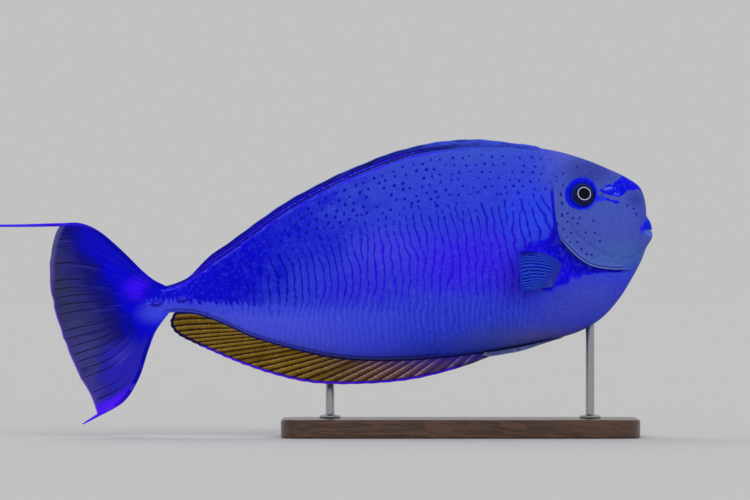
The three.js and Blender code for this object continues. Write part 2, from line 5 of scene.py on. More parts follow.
import bmesh
import bpy
import numpy as np
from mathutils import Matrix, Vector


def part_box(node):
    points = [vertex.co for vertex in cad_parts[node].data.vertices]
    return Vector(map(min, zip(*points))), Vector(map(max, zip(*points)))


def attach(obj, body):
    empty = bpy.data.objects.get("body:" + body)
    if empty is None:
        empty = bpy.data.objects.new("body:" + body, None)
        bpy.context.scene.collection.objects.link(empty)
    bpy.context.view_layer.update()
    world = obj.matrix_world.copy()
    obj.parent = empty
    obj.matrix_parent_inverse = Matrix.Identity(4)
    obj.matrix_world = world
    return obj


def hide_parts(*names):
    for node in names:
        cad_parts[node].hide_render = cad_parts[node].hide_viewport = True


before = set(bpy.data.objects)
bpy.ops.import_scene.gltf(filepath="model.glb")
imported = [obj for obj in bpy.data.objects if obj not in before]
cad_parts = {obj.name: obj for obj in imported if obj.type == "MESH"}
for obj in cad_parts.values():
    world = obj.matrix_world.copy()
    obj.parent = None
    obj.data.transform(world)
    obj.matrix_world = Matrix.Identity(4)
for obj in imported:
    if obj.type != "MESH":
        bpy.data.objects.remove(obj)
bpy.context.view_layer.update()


# Body cast
# Head, trunk and tail stalk are one hollow resin cast, taken from a mould of the fish. The loops
# round it stand upright along the trunk, lean round the blunt face, close on the lips and turn in
# at the mouth. Places on the fish are in percent of its standard length, lips to tail stalk end.
STANDARD_LENGTH = 360.0  # mm
PERCENT = STANDARD_LENGTH / 100
MM = 0.001
SWIM_PITCH = math.radians(8)  # nose up
SNOUT_X, SNOUT_Z = 133.7, 144.5  # mm, where the lips meet
# back: along and up, belly: along and up, half width, how far the sides are swept back
STATIONS = np.array([
    (-99.6, -0.2, -99.6, -0.2, 0, 0),  # end of the tail stalk
    (-99.2, 1.7, -99.2, -2.1, 0.45, 0),
    (-97.6, 2.7, -97.6, -3.1, 0.65, 0),
    (-94.6, 2.5, -94.8, -2.8, 1.15, 0),  # narrowest
    (-90, 3.6, -90, -3.6, 1.45, 0),
    (-85, 6.2, -85, -6.1, 1.95, 0),
    (-80, 8.7, -80, -9.3, 2.6, 0),
    (-72, 13, -72, -13, 3.8, 0),
    (-64, 16.3, -64, -15.9, 4.85, 0),
    (-55, 19.1, -55, -17.7, 5.8, 0),
    (-45, 21.2, -45, -18.6, 6.45, 0),
    (-35, 21.5, -35, -18.8, 6.75, 0),  # deepest
    (-25, 20.2, -25, -18.4, 6.75, 0),
    (-17, 18.2, -17, -17.6, 6.55, 0),  # nape
    (-11, 15.6, -12, -15.6, 6.1, 0),
    (-6.5, 13, -8, -12.3, 5.4, 0),
    (-3.2, 10.8, -4.9, -8.6, 4.6, 0.2),  # brow
    (-1.1, 8.8, -2.6, -5.4, 3.85, 0.6),  # nose bump
    (-0.45, 6.9, -1.3, -3.1, 3.1, 1),
    (-0.35, 4.4, -0.5, -2.1, 2.45, 1.3),
    (-0.45, 3, -0.05, -1.5, 2.05, 1.5),  # groove behind the lips
    (0.08, 1.6, 0.12, -0.95, 1.85, 1.6),  # lips
    (0.12, 0.13, 0.02, -0.1, 1.6, 1.75),
    (-0.8, 0.04, -0.8, -0.03, 1.2, 1.3),
    (-2, 0, -2, 0, 0, 0),  # inside the mouth
])
LAST_STATION = len(STATIONS) - 1
TURN = 2 * math.pi
BACK_ROUNDNESS = 1.12  # above 1 the back is sharper than an ellipse
BELLY_ROUNDNESS = 0.9  # below 1 the belly is fuller than an ellipse
LOOPS, LOOP_SIDES = 440, 224
LOOP_SHARES = ((0, 0), (0.36, 12), (0.52, 13.8), (0.8, 17.5), (1, 24))  # of the loops, to a station
SIDE_CROWDING = 0.2  # draws the sides of a loop together on the flank, where the fine forms are


def smooth_line(points):
    """A curve through points given in percent, as a function of 0 to 1 that returns mm."""
    stops = np.array(points, float) * PERCENT
    ends = np.vstack([2 * stops[0] - stops[1], stops, 2 * stops[-1] - stops[-2]])
    spans = np.sqrt(np.linalg.norm(np.diff(ends, axis=0), axis=1))
    spans[spans < 1e-4] = 1.0

    def at(t):
        whole = np.asarray(t, float) * (len(stops) - 1)
        k = np.clip(whole.astype(int), 0, len(stops) - 2)
        w = (whole - k)[..., None]
        before, start, end, after = (ends[k + i] for i in range(4))
        span0, span1, span2 = (spans[k + i][..., None] for i in range(3))
        leave = (start - before) / span0 - (end - before) / (span0 + span1) + (end - start) / span1
        arrive = (end - start) / span1 - (after - start) / (span1 + span2) + (after - end) / span2
        leave, arrive = leave * span1, arrive * span1
        square = -3 * start + 3 * end - 2 * leave - arrive
        cube = 2 * start - 2 * end + leave + arrive
        return start + leave * w + square * w ** 2 + cube * w ** 3
    return at


def ease(value, low, high):
    """0 at low and beyond it, 1 at high, and smooth between."""
    share = np.clip((value - low) / (high - low), 0, 1)
    return share * share * (3 - 2 * share)


def distance_to(line, x, z):
    """Distance in mm from places in the middle plane to a line of points in mm."""
    best = np.full(np.shape(x), np.inf)
    for (x0, z0), (x1, z1) in zip(line[:-1], line[1:]):
        dx, dz = x1 - x0, z1 - z0
        share = np.clip(((x - x0) * dx + (z - z0) * dz) / max(dx * dx + dz * dz, 1e-9), 0, 1)
        best = np.minimum(best, np.hypot(x - x0 - share * dx, z - z0 - share * dz))
    return best


def inside(outline, x, z):
    """Whether places in the middle plane lie inside a closed outline."""
    odd = np.zeros(np.shape(x), bool)
    for (x0, z0), (x1, z1) in zip(outline, np.roll(outline, -1, axis=0)):
        crosses = (z0 > z) != (z1 > z)
        odd ^= crosses & (x < (x1 - x0) * (z - z0) / (z1 - z0 if z1 != z0 else 1e-9) + x0)
    return odd


def fish_to_model(x, y, z):
    """Places on the fish in mm, as it lies level, to places in the scene in metres."""
    cos, sin = math.cos(SWIM_PITCH), math.sin(SWIM_PITCH)
    return np.column_stack([SNOUT_X + x * cos - z * sin, y, SNOUT_Z + x * sin + z * cos]) * MM


back_line = smooth_line(STATIONS[:, 0:2])
belly_line = smooth_line(STATIONS[:, 2:4])
breadth_line = smooth_line(STATIONS[:, 4:6])


def body_at(station, angle):
    """The cast's surface in mm, at a station and an angle round it from the back down the left."""
    t = station / LAST_STATION
    back, belly, breadth = back_line(t), belly_line(t), breadth_line(t)
    height, side = (1 + np.cos(angle)) / 2, np.sin(angle)
    roundness = BELLY_ROUNDNESS + (BACK_ROUNDNESS - BELLY_ROUNDNESS) * height
    x = belly[..., 0] + (back[..., 0] - belly[..., 0]) * height
    z = belly[..., 1] + (back[..., 1] - belly[..., 1]) * height
    y = np.sign(side) * np.abs(side) ** roundness * np.maximum(breadth[..., 0], 0)
    return x - np.maximum(breadth[..., 1], 0) * side ** 2, y, z


def half_width_at(x, z):
    """Half the cast's width at a place in its middle plane, on the part with upright loops."""
    station = np.linspace(2, 19, 700)
    back, belly = back_line(station / LAST_STATION), belly_line(station / LAST_STATION)
    share = np.clip((z - belly[:, 1]) / (back[:, 1] - belly[:, 1]), 0.001, 0.999)
    loop_x, loop_y, _ = body_at(station, np.arccos(2 * share - 1))
    return loop_y[np.argmin(np.abs(loop_x - x))]


def line_height(line, x):
    """The height of the back or belly line at places along the upright part of the fish."""
    stops = line(np.linspace(1, 17, 600) / LAST_STATION)
    return np.interp(x, stops[:, 0], stops[:, 1])


def smooth_shape(name, bm):
    """Turns a bmesh into a smooth-shaded object in the scene."""
    mesh = bpy.data.meshes.new(name)
    bm.to_mesh(mesh)
    bm.free()
    mesh.polygons.foreach_set("use_smooth", [True] * len(mesh.polygons))
    piece = bpy.data.objects.new(name, mesh)
    bpy.context.scene.collection.objects.link(piece)
    return piece


def read_places(mesh):
    places = np.empty(len(mesh.vertices) * 3)
    mesh.vertices.foreach_get("co", places)
    return places.reshape(-1, 3)


def write_places(mesh, places):
    mesh.vertices.foreach_set("co", np.asarray(places, float).ravel())
    mesh.update()


def keep_on_skin(mesh, name, values):
    """Stores a number or a place for each vertex, which the paint reads."""
    values = np.asarray(values, np.float32)
    kind, key = ("FLOAT_VECTOR", "vector") if values.ndim == 2 else ("FLOAT", "value")
    mesh.attributes.new(name, kind, "POINT").data.foreach_set(key, values.ravel())


bm = bmesh.new()
bmesh.ops.create_uvsphere(bm, u_segments=LOOP_SIDES, v_segments=LOOPS, radius=1)
skin = smooth_shape("body_skin", bm)
ball = read_places(skin.data)
loop_share = np.arccos(np.clip(ball[:, 2], -1, 1)) / math.pi
station = np.interp(loop_share, *zip(*LOOP_SHARES))
round_angle = np.arctan2(ball[:, 1], ball[:, 0])
round_angle += SIDE_CROWDING * np.sin(2 * round_angle)
along, across, up = body_at(station, round_angle)
write_places(skin.data, fish_to_model(along, across, up))

# Gill cover, its edge standing proud of a slit that runs from the nape down and forward to the
# throat, and the softer folds of the cheek and chin.
GILL_LINE = [
    (-17.2, 26), (-17.4, 15.3), (-18.1, 10), (-18.4, 5), (-18.2, 1.6), (-17, -0.7),
    (-15.2, -3.1), (-12.7, -5.2), (-8.8, -6.5), (-5.2, -7), (-2, -8.3), (3, -10),
]
COVER_RISE, COVER_FADE = 0.55, 14.0  # mm proud, and how far ahead that fades
SLIT_SINK, SLIT_FADE = 0.35, 7.0
SLIT_TOP, SLIT_TOP_FADE = 14 * PERCENT, 4 * PERCENT  # the relief fades out below the nape
SLIT_FRONT, SLIT_FRONT_FADE = -2.5 * PERCENT, 3 * PERCENT  # and behind the chin
THROAT = (16, 27)  # mm behind the lips, where the slit closes on the throat
EDGE_WIDTH = 1.0  # of the step from one to the other
CHEEK_FOLD = [(-15.6, 4.5), (-14.7, 1.8), (-13, -0.2), (-10.9, -2.3), (-8.2, -4)]
CHIN_FOLD = [(-6.3, -4.5), (-5.4, -4.6), (-4.4, -4.4), (-3, -3.8), (-2, -3.4)]
FOLD_DEPTH, FOLD_WIDTH = 0.3, 1.8

gill_points = smooth_line(GILL_LINE)(np.linspace(0, 1, 60))
far_ahead = 30 * PERCENT
head_outline = np.vstack([gill_points, (far_ahead, gill_points[-1, 1]), (far_ahead, gill_points[0, 1])])
on_head = inside(head_outline, along, up)
gill = distance_to(gill_points, along, up) * np.where(on_head, 1, -1)
slit_share = ease(SLIT_TOP - up, 0, SLIT_TOP_FADE) * ease(SLIT_FRONT - along, 0, SLIT_FRONT_FADE)
ahead = ease(gill, -EDGE_WIDTH / 2, EDGE_WIDTH / 2)
open_slit = ease(-along, *THROAT)
cover = COVER_RISE * (1 - ease(gill, 0, COVER_FADE)) * ahead * open_slit
sunk = SLIT_SINK * (1 - ease(-gill, 0, SLIT_FADE)) * (1 - ahead) * open_slit
relief = slit_share * (cover - sunk)
folds = np.full(len(along), np.inf)
for fold in (CHEEK_FOLD, CHIN_FOLD):
    folds = np.minimum(folds, distance_to(smooth_line(fold)(np.linspace(0, 1, 24)), along, up))
relief -= FOLD_DEPTH * np.exp(-(folds / FOLD_WIDTH) ** 2)

# Eye sockets with a raised rim, and two nostrils ahead of each, the front one larger.
EYE = (-12.4 * PERCENT, 8.75 * PERCENT)
EYE_RADIUS, EYE_DEPTH, EYE_SUNK = 9.4, 5.2, 2.3
RIM_RADIUS, RIM_WIDTH, RIM_RISE = 10.4, 1.5, 0.8
SOCKET_DEPTH = 1.6
SOCKET_FLOOR, SOCKET_EDGE = 7.6, 9.6  # mm, radii between which the socket comes up
NOSTRIL_RIM, NOSTRIL_RIM_WIDTH, NOSTRIL_DEPTH = 0.35, 0.6, 1.3
NOSTRILS = ((-7.3 * PERCENT, 9.1 * PERCENT, 1.3), (-8.5 * PERCENT, 8.3 * PERCENT, 0.95))

from_eye = np.hypot(along - EYE[0], up - EYE[1])
relief += RIM_RISE * np.exp(-((from_eye - RIM_RADIUS) / RIM_WIDTH) ** 2)
relief -= (SOCKET_DEPTH + RIM_RISE) * (1 - ease(from_eye, SOCKET_FLOOR, SOCKET_EDGE))
nostril = np.full(len(along), np.inf)
for nostril_x, nostril_z, radius in NOSTRILS:
    apart = np.hypot(along - nostril_x, up - nostril_z)
    nostril = np.minimum(nostril, apart / radius)
    relief += NOSTRIL_RIM * np.exp(-((apart - radius * 1.35) / NOSTRIL_RIM_WIDTH) ** 2)
    relief -= NOSTRIL_DEPTH * (1 - ease(apart, radius * 0.45, radius * 1.1))

# Fine wrinkles of the lips, the muscle that swells behind the gill slit at the root of the
# pectoral fin, and a barely raised lateral line that follows the back.
PECTORAL_ROOT_HIGH = (-17.4, -4.6)
PECTORAL_ROOT_LOW = (-19.9, -8.0)
ROOT_SWELL, ROOT_SWELL_WIDTH = 1.1, 6.5
LATERAL_DROP = 0.27  # of the body's depth below the back
LATERAL_RISE, LATERAL_WIDTH = 0.12, 0.9
LATERAL_LEVELS = (-330, -250)  # mm, where it comes down to the middle of the tail stalk
LIPS_BEGIN, LIPS_END = (20.2, 20.9), (21.8, 22.6)  # stations over which the wrinkles fade
WRINKLES, WRINKLE_DEPTH = 34, 0.1
lip_share = ease(station, *LIPS_BEGIN) * (1 - ease(station, *LIPS_END))
relief += WRINKLE_DEPTH * lip_share * np.sin(round_angle * WRINKLES)
fin_root = np.array([PECTORAL_ROOT_HIGH, PECTORAL_ROOT_LOW]) * PERCENT
relief += ROOT_SWELL * np.exp(-(distance_to(fin_root, along, up) / ROOT_SWELL_WIDTH) ** 2)
back_height = line_height(back_line, along)
belly_height = line_height(belly_line, along)
lateral_drop = LATERAL_DROP * (back_height - belly_height) * ease(along, *LATERAL_LEVELS)
lateral = up - (back_height - lateral_drop)
on_trunk = (1 - ease(gill, -6, -1)) * ease(along, -330, -300)
relief += LATERAL_RISE * on_trunk * np.exp(-(lateral / LATERAL_WIDTH) ** 2)

normals = np.empty(len(along) * 3)
skin.data.vertex_normals.foreach_get("vector", normals)
write_places(skin.data, read_places(skin.data) + normals.reshape(-1, 3) * relief[:, None] * MM)
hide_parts("head", "trunk", "tail_stalk")
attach(skin, "root")

# What the paint follows: the place on the level fish, and distances to the gill line, the blue
# mask across the nose and the blue patch round the pectoral fin.
MASK = [
    (-8.85, 9.35), (-8, 9.65), (-7.1, 9.95), (-6.25, 9.95), (-5.2, 10.4), (-4.35, 11), (-3.9, 11.4),
    (-0.35, 12.9), (3.1, 9.5), (-0.2, 6.8), (-0.85, 7.9), (-1.6, 8.3), (-2.4, 8.2), (-3.55, 8.2),
    (-4.6, 7.65), (-5.25, 7.35), (-6.15, 7.7), (-7.3, 8), (-8.2, 8.35), (-8.9, 8.95),
]
MASK_STREAK = [(-9.4, 8.15), (-8.67, 7.78), (-7.48, 7.06), (-5.7, 6.33)]
STREAK_HALF_WIDTH = 0.8
FIN_PATCH = [
    (-26, -0.75), (-24.9, 0.4), (-22.8, 1.15), (-20.6, 1.45), (-19.2, 3.2), (-18.45, 5.65), (-18, 7.6),
    (-17.6, 7.5), (-17.9, 3.6), (-17.5, 0.6), (-16, -2), (-13.4, -4.5), (-10.6, -5.95), (-6.9, -7.05),
    (-9.8, -6.9), (-12.9, -6.9), (-15.5, -7.15), (-18, -7.9), (-20, -8.5), (-22.1, -8.9), (-23.2, -7.2),
    (-24.7, -3.9),
]
mask_points = np.array(MASK) * PERCENT
mask = distance_to(np.vstack([mask_points, mask_points[:1]]), along, up)
mask = np.where(inside(mask_points, along, up), -mask, mask)
streak = distance_to(np.array(MASK_STREAK) * PERCENT, along, up) - STREAK_HALF_WIDTH
patch_points = smooth_line(FIN_PATCH + FIN_PATCH[:1])(np.linspace(0, 1, 90))
patch = distance_to(patch_points, along, up)
patch = np.where(inside(patch_points, along, up), -patch, patch)
keep_on_skin(skin.data, "fish", np.column_stack([along, across, up]))
keep_on_skin(skin.data, "gill", np.clip(gill, -60, 60))
keep_on_skin(skin.data, "mask", np.minimum(mask, streak))
keep_on_skin(skin.data, "patch", patch)
keep_on_skin(skin.data, "folds", np.minimum(folds, 20))
keep_on_skin(skin.data, "nostril", np.minimum(nostril, 20))
keep_on_skin(skin.data, "below_back", back_height - up)
keep_on_skin(skin.data, "above_belly", up - belly_height)
keep_on_skin(skin.data, "station", station)


# Body paint
# The resin is sprayed with satin acrylics: deep blue flanks that turn saturated towards the tail
# and greyer on the head, under hand-painted dots, dashes and wavering upright lines, then sealed
# with a thin matt lacquer over the fine grain of tiny rough scales.
def linear(colour, alpha=1.0):
    """An sRGB hex value as linear light."""
    parts = [int(colour[i:i + 2], 16) / 255 for i in (1, 3, 5)]
    return tuple(p / 12.92 if p <= 0.04045 else ((p + 0.055) / 1.055) ** 2.4 for p in parts) + (alpha,)


def add_node(tree, kind, links=None, output=0, **settings):
    """Adds a node with its settings, and what each input, by name or place, holds or is linked
    to. Inputs 1 to 4 of a MapRange are the range that it reads and the one that it gives."""
    made = tree.nodes.new("ShaderNode" + kind)
    for name, value in settings.items():
        setattr(made, name, value)
    for name, value in (links or {}).items():
        if isinstance(value, bpy.types.NodeSocket):
            tree.links.new(value, made.inputs[name])
        else:
            made.inputs[name].default_value = value
    return made.outputs[output] if len(made.outputs) else None


def new_paint(name):
    """An empty material and its node tree."""
    material = bpy.data.materials.new(name)
    material.use_nodes = True
    material.node_tree.nodes.clear()
    return material, material.node_tree


LACQUER_IOR = 1.46
LACQUER_SPECULAR = 0.06  # low, because a matt lacquer shows no clear reflection


def lacquer(tree, colour, roughness, relief=None, strength=1.0, depth=1.0):
    """Ends a paint in clear acrylic lacquer, over a relief of a given strength and depth in mm."""
    sockets = {
        "Base Color": colour, "Roughness": roughness,
        "IOR": LACQUER_IOR, "Specular IOR Level": LACQUER_SPECULAR,
    }
    if relief is not None:
        sockets["Normal"] = add_node(tree, "Bump", {
            "Height": relief, "Strength": strength, "Distance": depth * MM,
        })
    add_node(tree, "OutputMaterial", {"Surface": add_node(tree, "BsdfPrincipled", sockets)})


MIX_A, MIX_B, MIX_COLOUR = 6, 7, 2  # the colour sockets of a Mix node
NOISE_LOW, NOISE_HIGH = 0.3, 0.7  # nearly all of a noise lies between these
BOTH_SIDES = 1e6  # mm, so wide across that a spot covers both sides alike


def spray(tree, ground, layers):
    """Lays colours over a ground. Each layer is a colour and the shares that it covers by, all
    taken together. A share is a socket, or a socket with the value where the colour starts, the
    value where it covers, and how much it covers there if that is not all."""
    for colour, *shares in layers:
        cover = 1.0
        for share in shares:
            if isinstance(share, tuple):
                source, start, full, *most = share
                most = most[0] if most else 1.0
                share = add_node(tree, "MapRange", {"Value": source, 1: start, 2: full, 4: most},
                                 interpolation_type="SMOOTHSTEP")
            cover = add_node(tree, "Math", {0: cover, 1: share}, operation="MULTIPLY")
        colour = linear(colour) if isinstance(colour, str) else colour
        ground = add_node(tree, "Mix", {0: cover, MIX_A: ground, MIX_B: colour},
                          output=MIX_COLOUR, data_type="RGBA")
    return ground


def airbrush(tree, ground, fish, spots):
    """Soft oval spots on a ground: colour, centre along and up and half size along and up in mm,
    and how much the middle covers."""
    for colour, centre_x, centre_z, half_x, half_z, most in spots:
        spot = add_node(tree, "Mapping", {
            "Vector": fish, "Location": (centre_x, 0, centre_z), "Scale": (half_x, BOTH_SIDES, half_z),
        }, vector_type="TEXTURE")
        reach = add_node(tree, "VectorMath", {0: spot}, output="Value", operation="LENGTH")
        ground = spray(tree, ground, [(colour, (reach, 1.0, 0.1, most))])
    return ground


skin_paint, tree = new_paint("satin_acrylic_on_resin_skin")
fish = add_node(tree, "Attribute", output="Vector", attribute_name="fish")
x, _, z = add_node(tree, "SeparateXYZ", {0: fish}).node.outputs
flat = add_node(tree, "CombineXYZ", {0: x, 2: z})
near = {}
for name in ("gill", "mask", "patch", "folds", "nostril", "below_back", "above_belly", "station"):
    near[name] = add_node(tree, "Attribute", output="Fac", attribute_name=name)
slow = add_node(tree, "TexNoise", {"Vector": fish, "Scale": 0.022, "Detail": 1.0})
quick = add_node(tree, "TexNoise", {"Vector": fish, "Scale": 0.1, "Detail": 1.0})
ragged = add_node(tree, "TexNoise", {"Vector": fish, "Scale": 0.25, "Detail": 2.0})
mottle = add_node(tree, "TexNoise", {"Vector": fish, "Scale": 0.4, "Detail": 3.0})

# Lines of the flank: a phase that grows by one from each line to the next. They stand upright on
# the pitched fish and lean back towards their tops. Slow noise bends them, and so do forks, places
# where a line begins or ends between two others.
LINE_SPACING = 5.2  # mm
UPRIGHT = math.tan(SWIM_PITCH)
LEAN_BACK = 2.3  # line spacings, over the height of the flank
FORKS = (
    (-43.5, 1.5, -1), (-40, -5, 1), (-28, 5, -1), (-31.5, -3, 1), (-56, 2, -1), (-52, -4, 1),
    (-24.5, 7, 1), (-36.5, 7.5, -1),
)
phase = add_node(tree, "VectorMath", {0: fish, 1: (1 / LINE_SPACING, 0, -UPRIGHT / LINE_SPACING)},
                 output="Value", operation="DOT_PRODUCT")
terms = (
    add_node(tree, "MapRange", {"Value": z, 1: 0.0, 2: 58.0, 4: LEAN_BACK},
             interpolation_type="SMOOTHSTEP"),
    add_node(tree, "MapRange", {"Value": slow, 1: NOISE_LOW, 2: NOISE_HIGH, 3: -0.6, 4: 0.6},
             clamp=False),
    add_node(tree, "MapRange", {"Value": quick, 1: NOISE_LOW, 2: NOISE_HIGH, 3: -0.16, 4: 0.16},
             clamp=False),
)
for term in terms:
    phase = add_node(tree, "Math", {0: phase, 1: term}, operation="ADD")
unforked = phase
for fork_x, fork_z, turn in FORKS:
    apart = add_node(tree, "VectorMath", {0: fish, 1: (fork_x * PERCENT, 0, fork_z * PERCENT)},
                     operation="SUBTRACT")
    apart_x, _, apart_z = add_node(tree, "SeparateXYZ", {0: apart}).node.outputs
    turned = add_node(tree, "Math", {0: apart_z, 1: apart_x}, operation="ARCTAN2")
    phase = add_node(tree, "Math", {0: turned, 1: turn / TURN, 2: phase},
                     operation="MULTIPLY_ADD")
line = add_node(tree, "Math", {0: phase}, operation="ROUND")
off_line = add_node(tree, "Math", {0: phase, 1: line}, operation="SUBTRACT")

# Each line breaks up into dashes towards its top, one to a row, and ends.
ROW = 7.0  # mm
LINE_HALF_WIDTH, LINE_SOFT = 0.66, 0.42  # mm
TOPS_VARY, FEET_VARY = 9.0, 8.0  # mm
THIN_BY, WAVER = 0.22, 0.5  # mm, how far a dash and a stretch of line may be drawn in
line_chance = add_node(tree, "TexWhiteNoise", {"W": line}, noise_dimensions="1D")
flank_top = add_node(tree, "MapRange", {"Value": x, 1: -280.0, 2: -190.0, 3: 18.0, 4: 31.0})
whole_top = add_node(tree, "MapRange", {"Value": x, 1: -200.0, 2: -130.0, 3: 6.0, 4: 24.0})
above_top = add_node(tree, "Math", {0: z, 1: flank_top}, operation="SUBTRACT")
line_z = add_node(tree, "Math", {0: line_chance, 1: -TOPS_VARY, 2: z}, operation="MULTIPLY_ADD")
over_top = add_node(tree, "Math", {0: line_z, 1: flank_top}, operation="SUBTRACT")
rows = add_node(tree, "Math", {0: z, 1: 1 / ROW, 2: line_chance}, operation="MULTIPLY_ADD")
row = add_node(tree, "Math", {0: rows}, operation="FLOOR")
cell = add_node(tree, "CombineXYZ", {0: line, 1: row})
cell_colour = add_node(tree, "TexWhiteNoise", {0: cell}, output="Color", noise_dimensions="2D")
dash_chance, thick_chance, _ = add_node(tree, "SeparateXYZ", {0: cell_colour}).node.outputs
in_row = add_node(tree, "Math", {0: rows, 1: row}, operation="SUBTRACT")
in_row = add_node(tree, "Math", {0: in_row, 1: 0.5}, operation="SUBTRACT")
in_row = add_node(tree, "Math", {0: in_row}, operation="ABSOLUTE")
dash_half = add_node(tree, "MapRange", {"Value": line_z, 1: whole_top, 2: flank_top, 3: 0.62, 4: 0.16})
dash_half = add_node(tree, "Math", {0: dash_chance, 1: -0.12, 2: dash_half}, operation="MULTIPLY_ADD")
past_end = add_node(tree, "Math", {0: in_row, 1: dash_half}, operation="SUBTRACT")
past_end = add_node(tree, "Math", {0: past_end, 1: 0.0}, operation="MAXIMUM")
past_end = add_node(tree, "Math", {0: past_end, 1: ROW}, operation="MULTIPLY")
aside = add_node(tree, "Math", {0: off_line, 1: LINE_SPACING}, operation="MULTIPLY")
from_line = add_node(tree, "CombineXYZ", {0: aside, 1: past_end})
from_line = add_node(tree, "VectorMath", {0: from_line}, output="Value", operation="LENGTH")
from_line = add_node(tree, "Math", {0: thick_chance, 1: THIN_BY, 2: from_line}, operation="MULTIPLY_ADD")
from_line = add_node(tree, "Math", {0: quick, 1: WAVER, 2: from_line}, operation="MULTIPLY_ADD")
LINE_EDGE = LINE_HALF_WIDTH + (THIN_BY + WAVER) / 2  # the two add this much on average
line_foot = add_node(tree, "MapRange", {"Value": x, 1: -320.0, 2: -84.0, 3: -12.0, 4: -33.0})
over_foot = add_node(tree, "Math", {0: z, 1: line_foot}, operation="SUBTRACT")
over_foot = add_node(tree, "Math", {0: line_chance, 1: -FEET_VARY, 2: over_foot}, operation="MULTIPLY_ADD")
breast = add_node(tree, "MapRange", {"Value": z, 1: -14.0, 2: 8.0, 3: -86.0, 4: -58.0})
past_breast = add_node(tree, "Math", {0: x, 1: breast}, operation="SUBTRACT")
over_fin_foot = add_node(tree, "MapRange", {"Value": x, 1: -104.0, 2: -88.0, 3: 60.0, 4: 34.0})
over_fin_foot = add_node(tree, "Math", {0: z, 1: over_fin_foot}, operation="ADD")
line_shares = (
    (from_line, LINE_EDGE + LINE_SOFT, LINE_EDGE - LINE_SOFT), (over_top, 4.0, 2.0),
    (over_foot, -8.0, 4.0), (near["gill"], -1.4, -2.6), (past_breast, 1.0, -4.0),
    (over_fin_foot, -2.0, 3.0), (x, -330.0, -262.0, 0.95),
)

# Dots of the back, in staggered rows that follow the back line, some of them left out.
DOT_ROW, DOT_SPACING = 5.3, 6.9  # mm
DOT_RADIUS, DOT_SOFT = 0.86, 0.34
DOT_STRAY = (2.6, 2.0)  # along and up
DOTS_MISSING = 0.07
dot_rows = add_node(tree, "Math", {0: near["below_back"], 1: DOT_ROW}, operation="DIVIDE")
dot_row = add_node(tree, "Math", {0: dot_rows}, operation="FLOOR")
row_chance = add_node(tree, "TexWhiteNoise", {"W": dot_row}, noise_dimensions="1D")
stagger = add_node(tree, "Math", {0: dot_row, 1: 0.5}, operation="MULTIPLY")
stagger = add_node(tree, "Math", {0: row_chance, 1: 0.35, 2: stagger}, operation="MULTIPLY_ADD")
dot_columns = add_node(tree, "Math", {0: x, 1: 1 / DOT_SPACING, 2: stagger}, operation="MULTIPLY_ADD")
dot_column = add_node(tree, "Math", {0: dot_columns}, operation="FLOOR")
cell = add_node(tree, "CombineXYZ", {0: dot_column, 1: dot_row})
cell_colour = add_node(tree, "TexWhiteNoise", {0: cell}, output="Color", noise_dimensions="2D")
in_cell = []
for whole, floor_, chance, size, stray in zip(
        (dot_columns, dot_rows), (dot_column, dot_row),
        add_node(tree, "SeparateXYZ", {0: cell_colour}).node.outputs, (DOT_SPACING, DOT_ROW), DOT_STRAY):
    share = add_node(tree, "Math", {0: whole, 1: floor_}, operation="SUBTRACT")
    middle = add_node(tree, "Math", {0: chance, 1: stray, 2: -(size + stray) / 2}, operation="MULTIPLY_ADD")
    in_cell.append(add_node(tree, "Math", {0: share, 1: size, 2: middle}, operation="MULTIPLY_ADD"))
from_dot = add_node(tree, "CombineXYZ", {0: in_cell[0], 1: in_cell[1]})
from_dot = add_node(tree, "VectorMath", {0: from_dot}, output="Value", operation="LENGTH")
dot_chance = add_node(tree, "SeparateXYZ", {0: cell_colour}, output="Z")
from_dot = add_node(tree, "Math", {0: dot_chance, 1: 0.4, 2: from_dot}, operation="MULTIPLY_ADD")
bolder = add_node(tree, "MapRange", {"Value": x, 1: -120.0, 2: -220.0, 3: 0.0, 4: 0.35})
from_dot = add_node(tree, "Math", {0: from_dot, 1: bolder}, operation="SUBTRACT")
DOT_EDGE = DOT_RADIUS + 0.2
present = add_node(tree, "Math", {0: dot_chance, 1: 1 - DOTS_MISSING}, operation="LESS_THAN")
dot_shares = (
    (from_dot, DOT_EDGE + DOT_SOFT, DOT_EDGE - DOT_SOFT), present, (above_top, 5.0, 7.0),
    (near["below_back"], 4.6, 6.0), (near["gill"], 6.0, -3.0), (x, -288.0, -262.0),
)

# Dots of the head, each where it is on the real fish, behind, below and ahead of the eye.
HEAD_DOTS = (  # mm along and up
    (-45, 51.5), (-61, 46.5), (-61, 43.3), (-55.7, 48), (-57, 39.6), (-59.4, 34.3), (-59.5, 33.2),
    (-59.5, 28), (-59.6, 26.9), (-60.6, 20), (-60.8, 18.9), (-56.6, 20), (-53.5, 16.4),
    (-48.7, 15.7), (-57.6, 14.3),
    (-50.8, 12), (-39.5, 12.3), (-65, 14.3), (-65, 12.9), (-61.2, 9.5), (-56, 6.4), (-59.7, 3.9),
    (-65.3, 5.7), (-58, 0), (-52.6, -0.6), (-46, 5), (-37, -2.2), (-50.6, -6), (-47.6, -10),
    (-44.2, -11), (-14.6, 19.6), (-10.2, 17), (-9, 13), (-39.7, 4),
)
HEAD_DOT_RADIUS, HEAD_DOT_SOFT = 0.8, 0.32
from_head_dot = 20.0
for dot_x, dot_z in HEAD_DOTS:
    reach = add_node(tree, "VectorMath", {0: flat, 1: (dot_x, 0, dot_z)},
                     output="Value", operation="DISTANCE")
    from_head_dot = add_node(tree, "Math", {0: from_head_dot, 1: reach}, operation="MINIMUM")
from_head_dot = add_node(tree, "Math", {0: mottle, 1: 0.8, 2: from_head_dot}, operation="MULTIPLY_ADD")
HEAD_DOT_EDGE = HEAD_DOT_RADIUS + 0.4

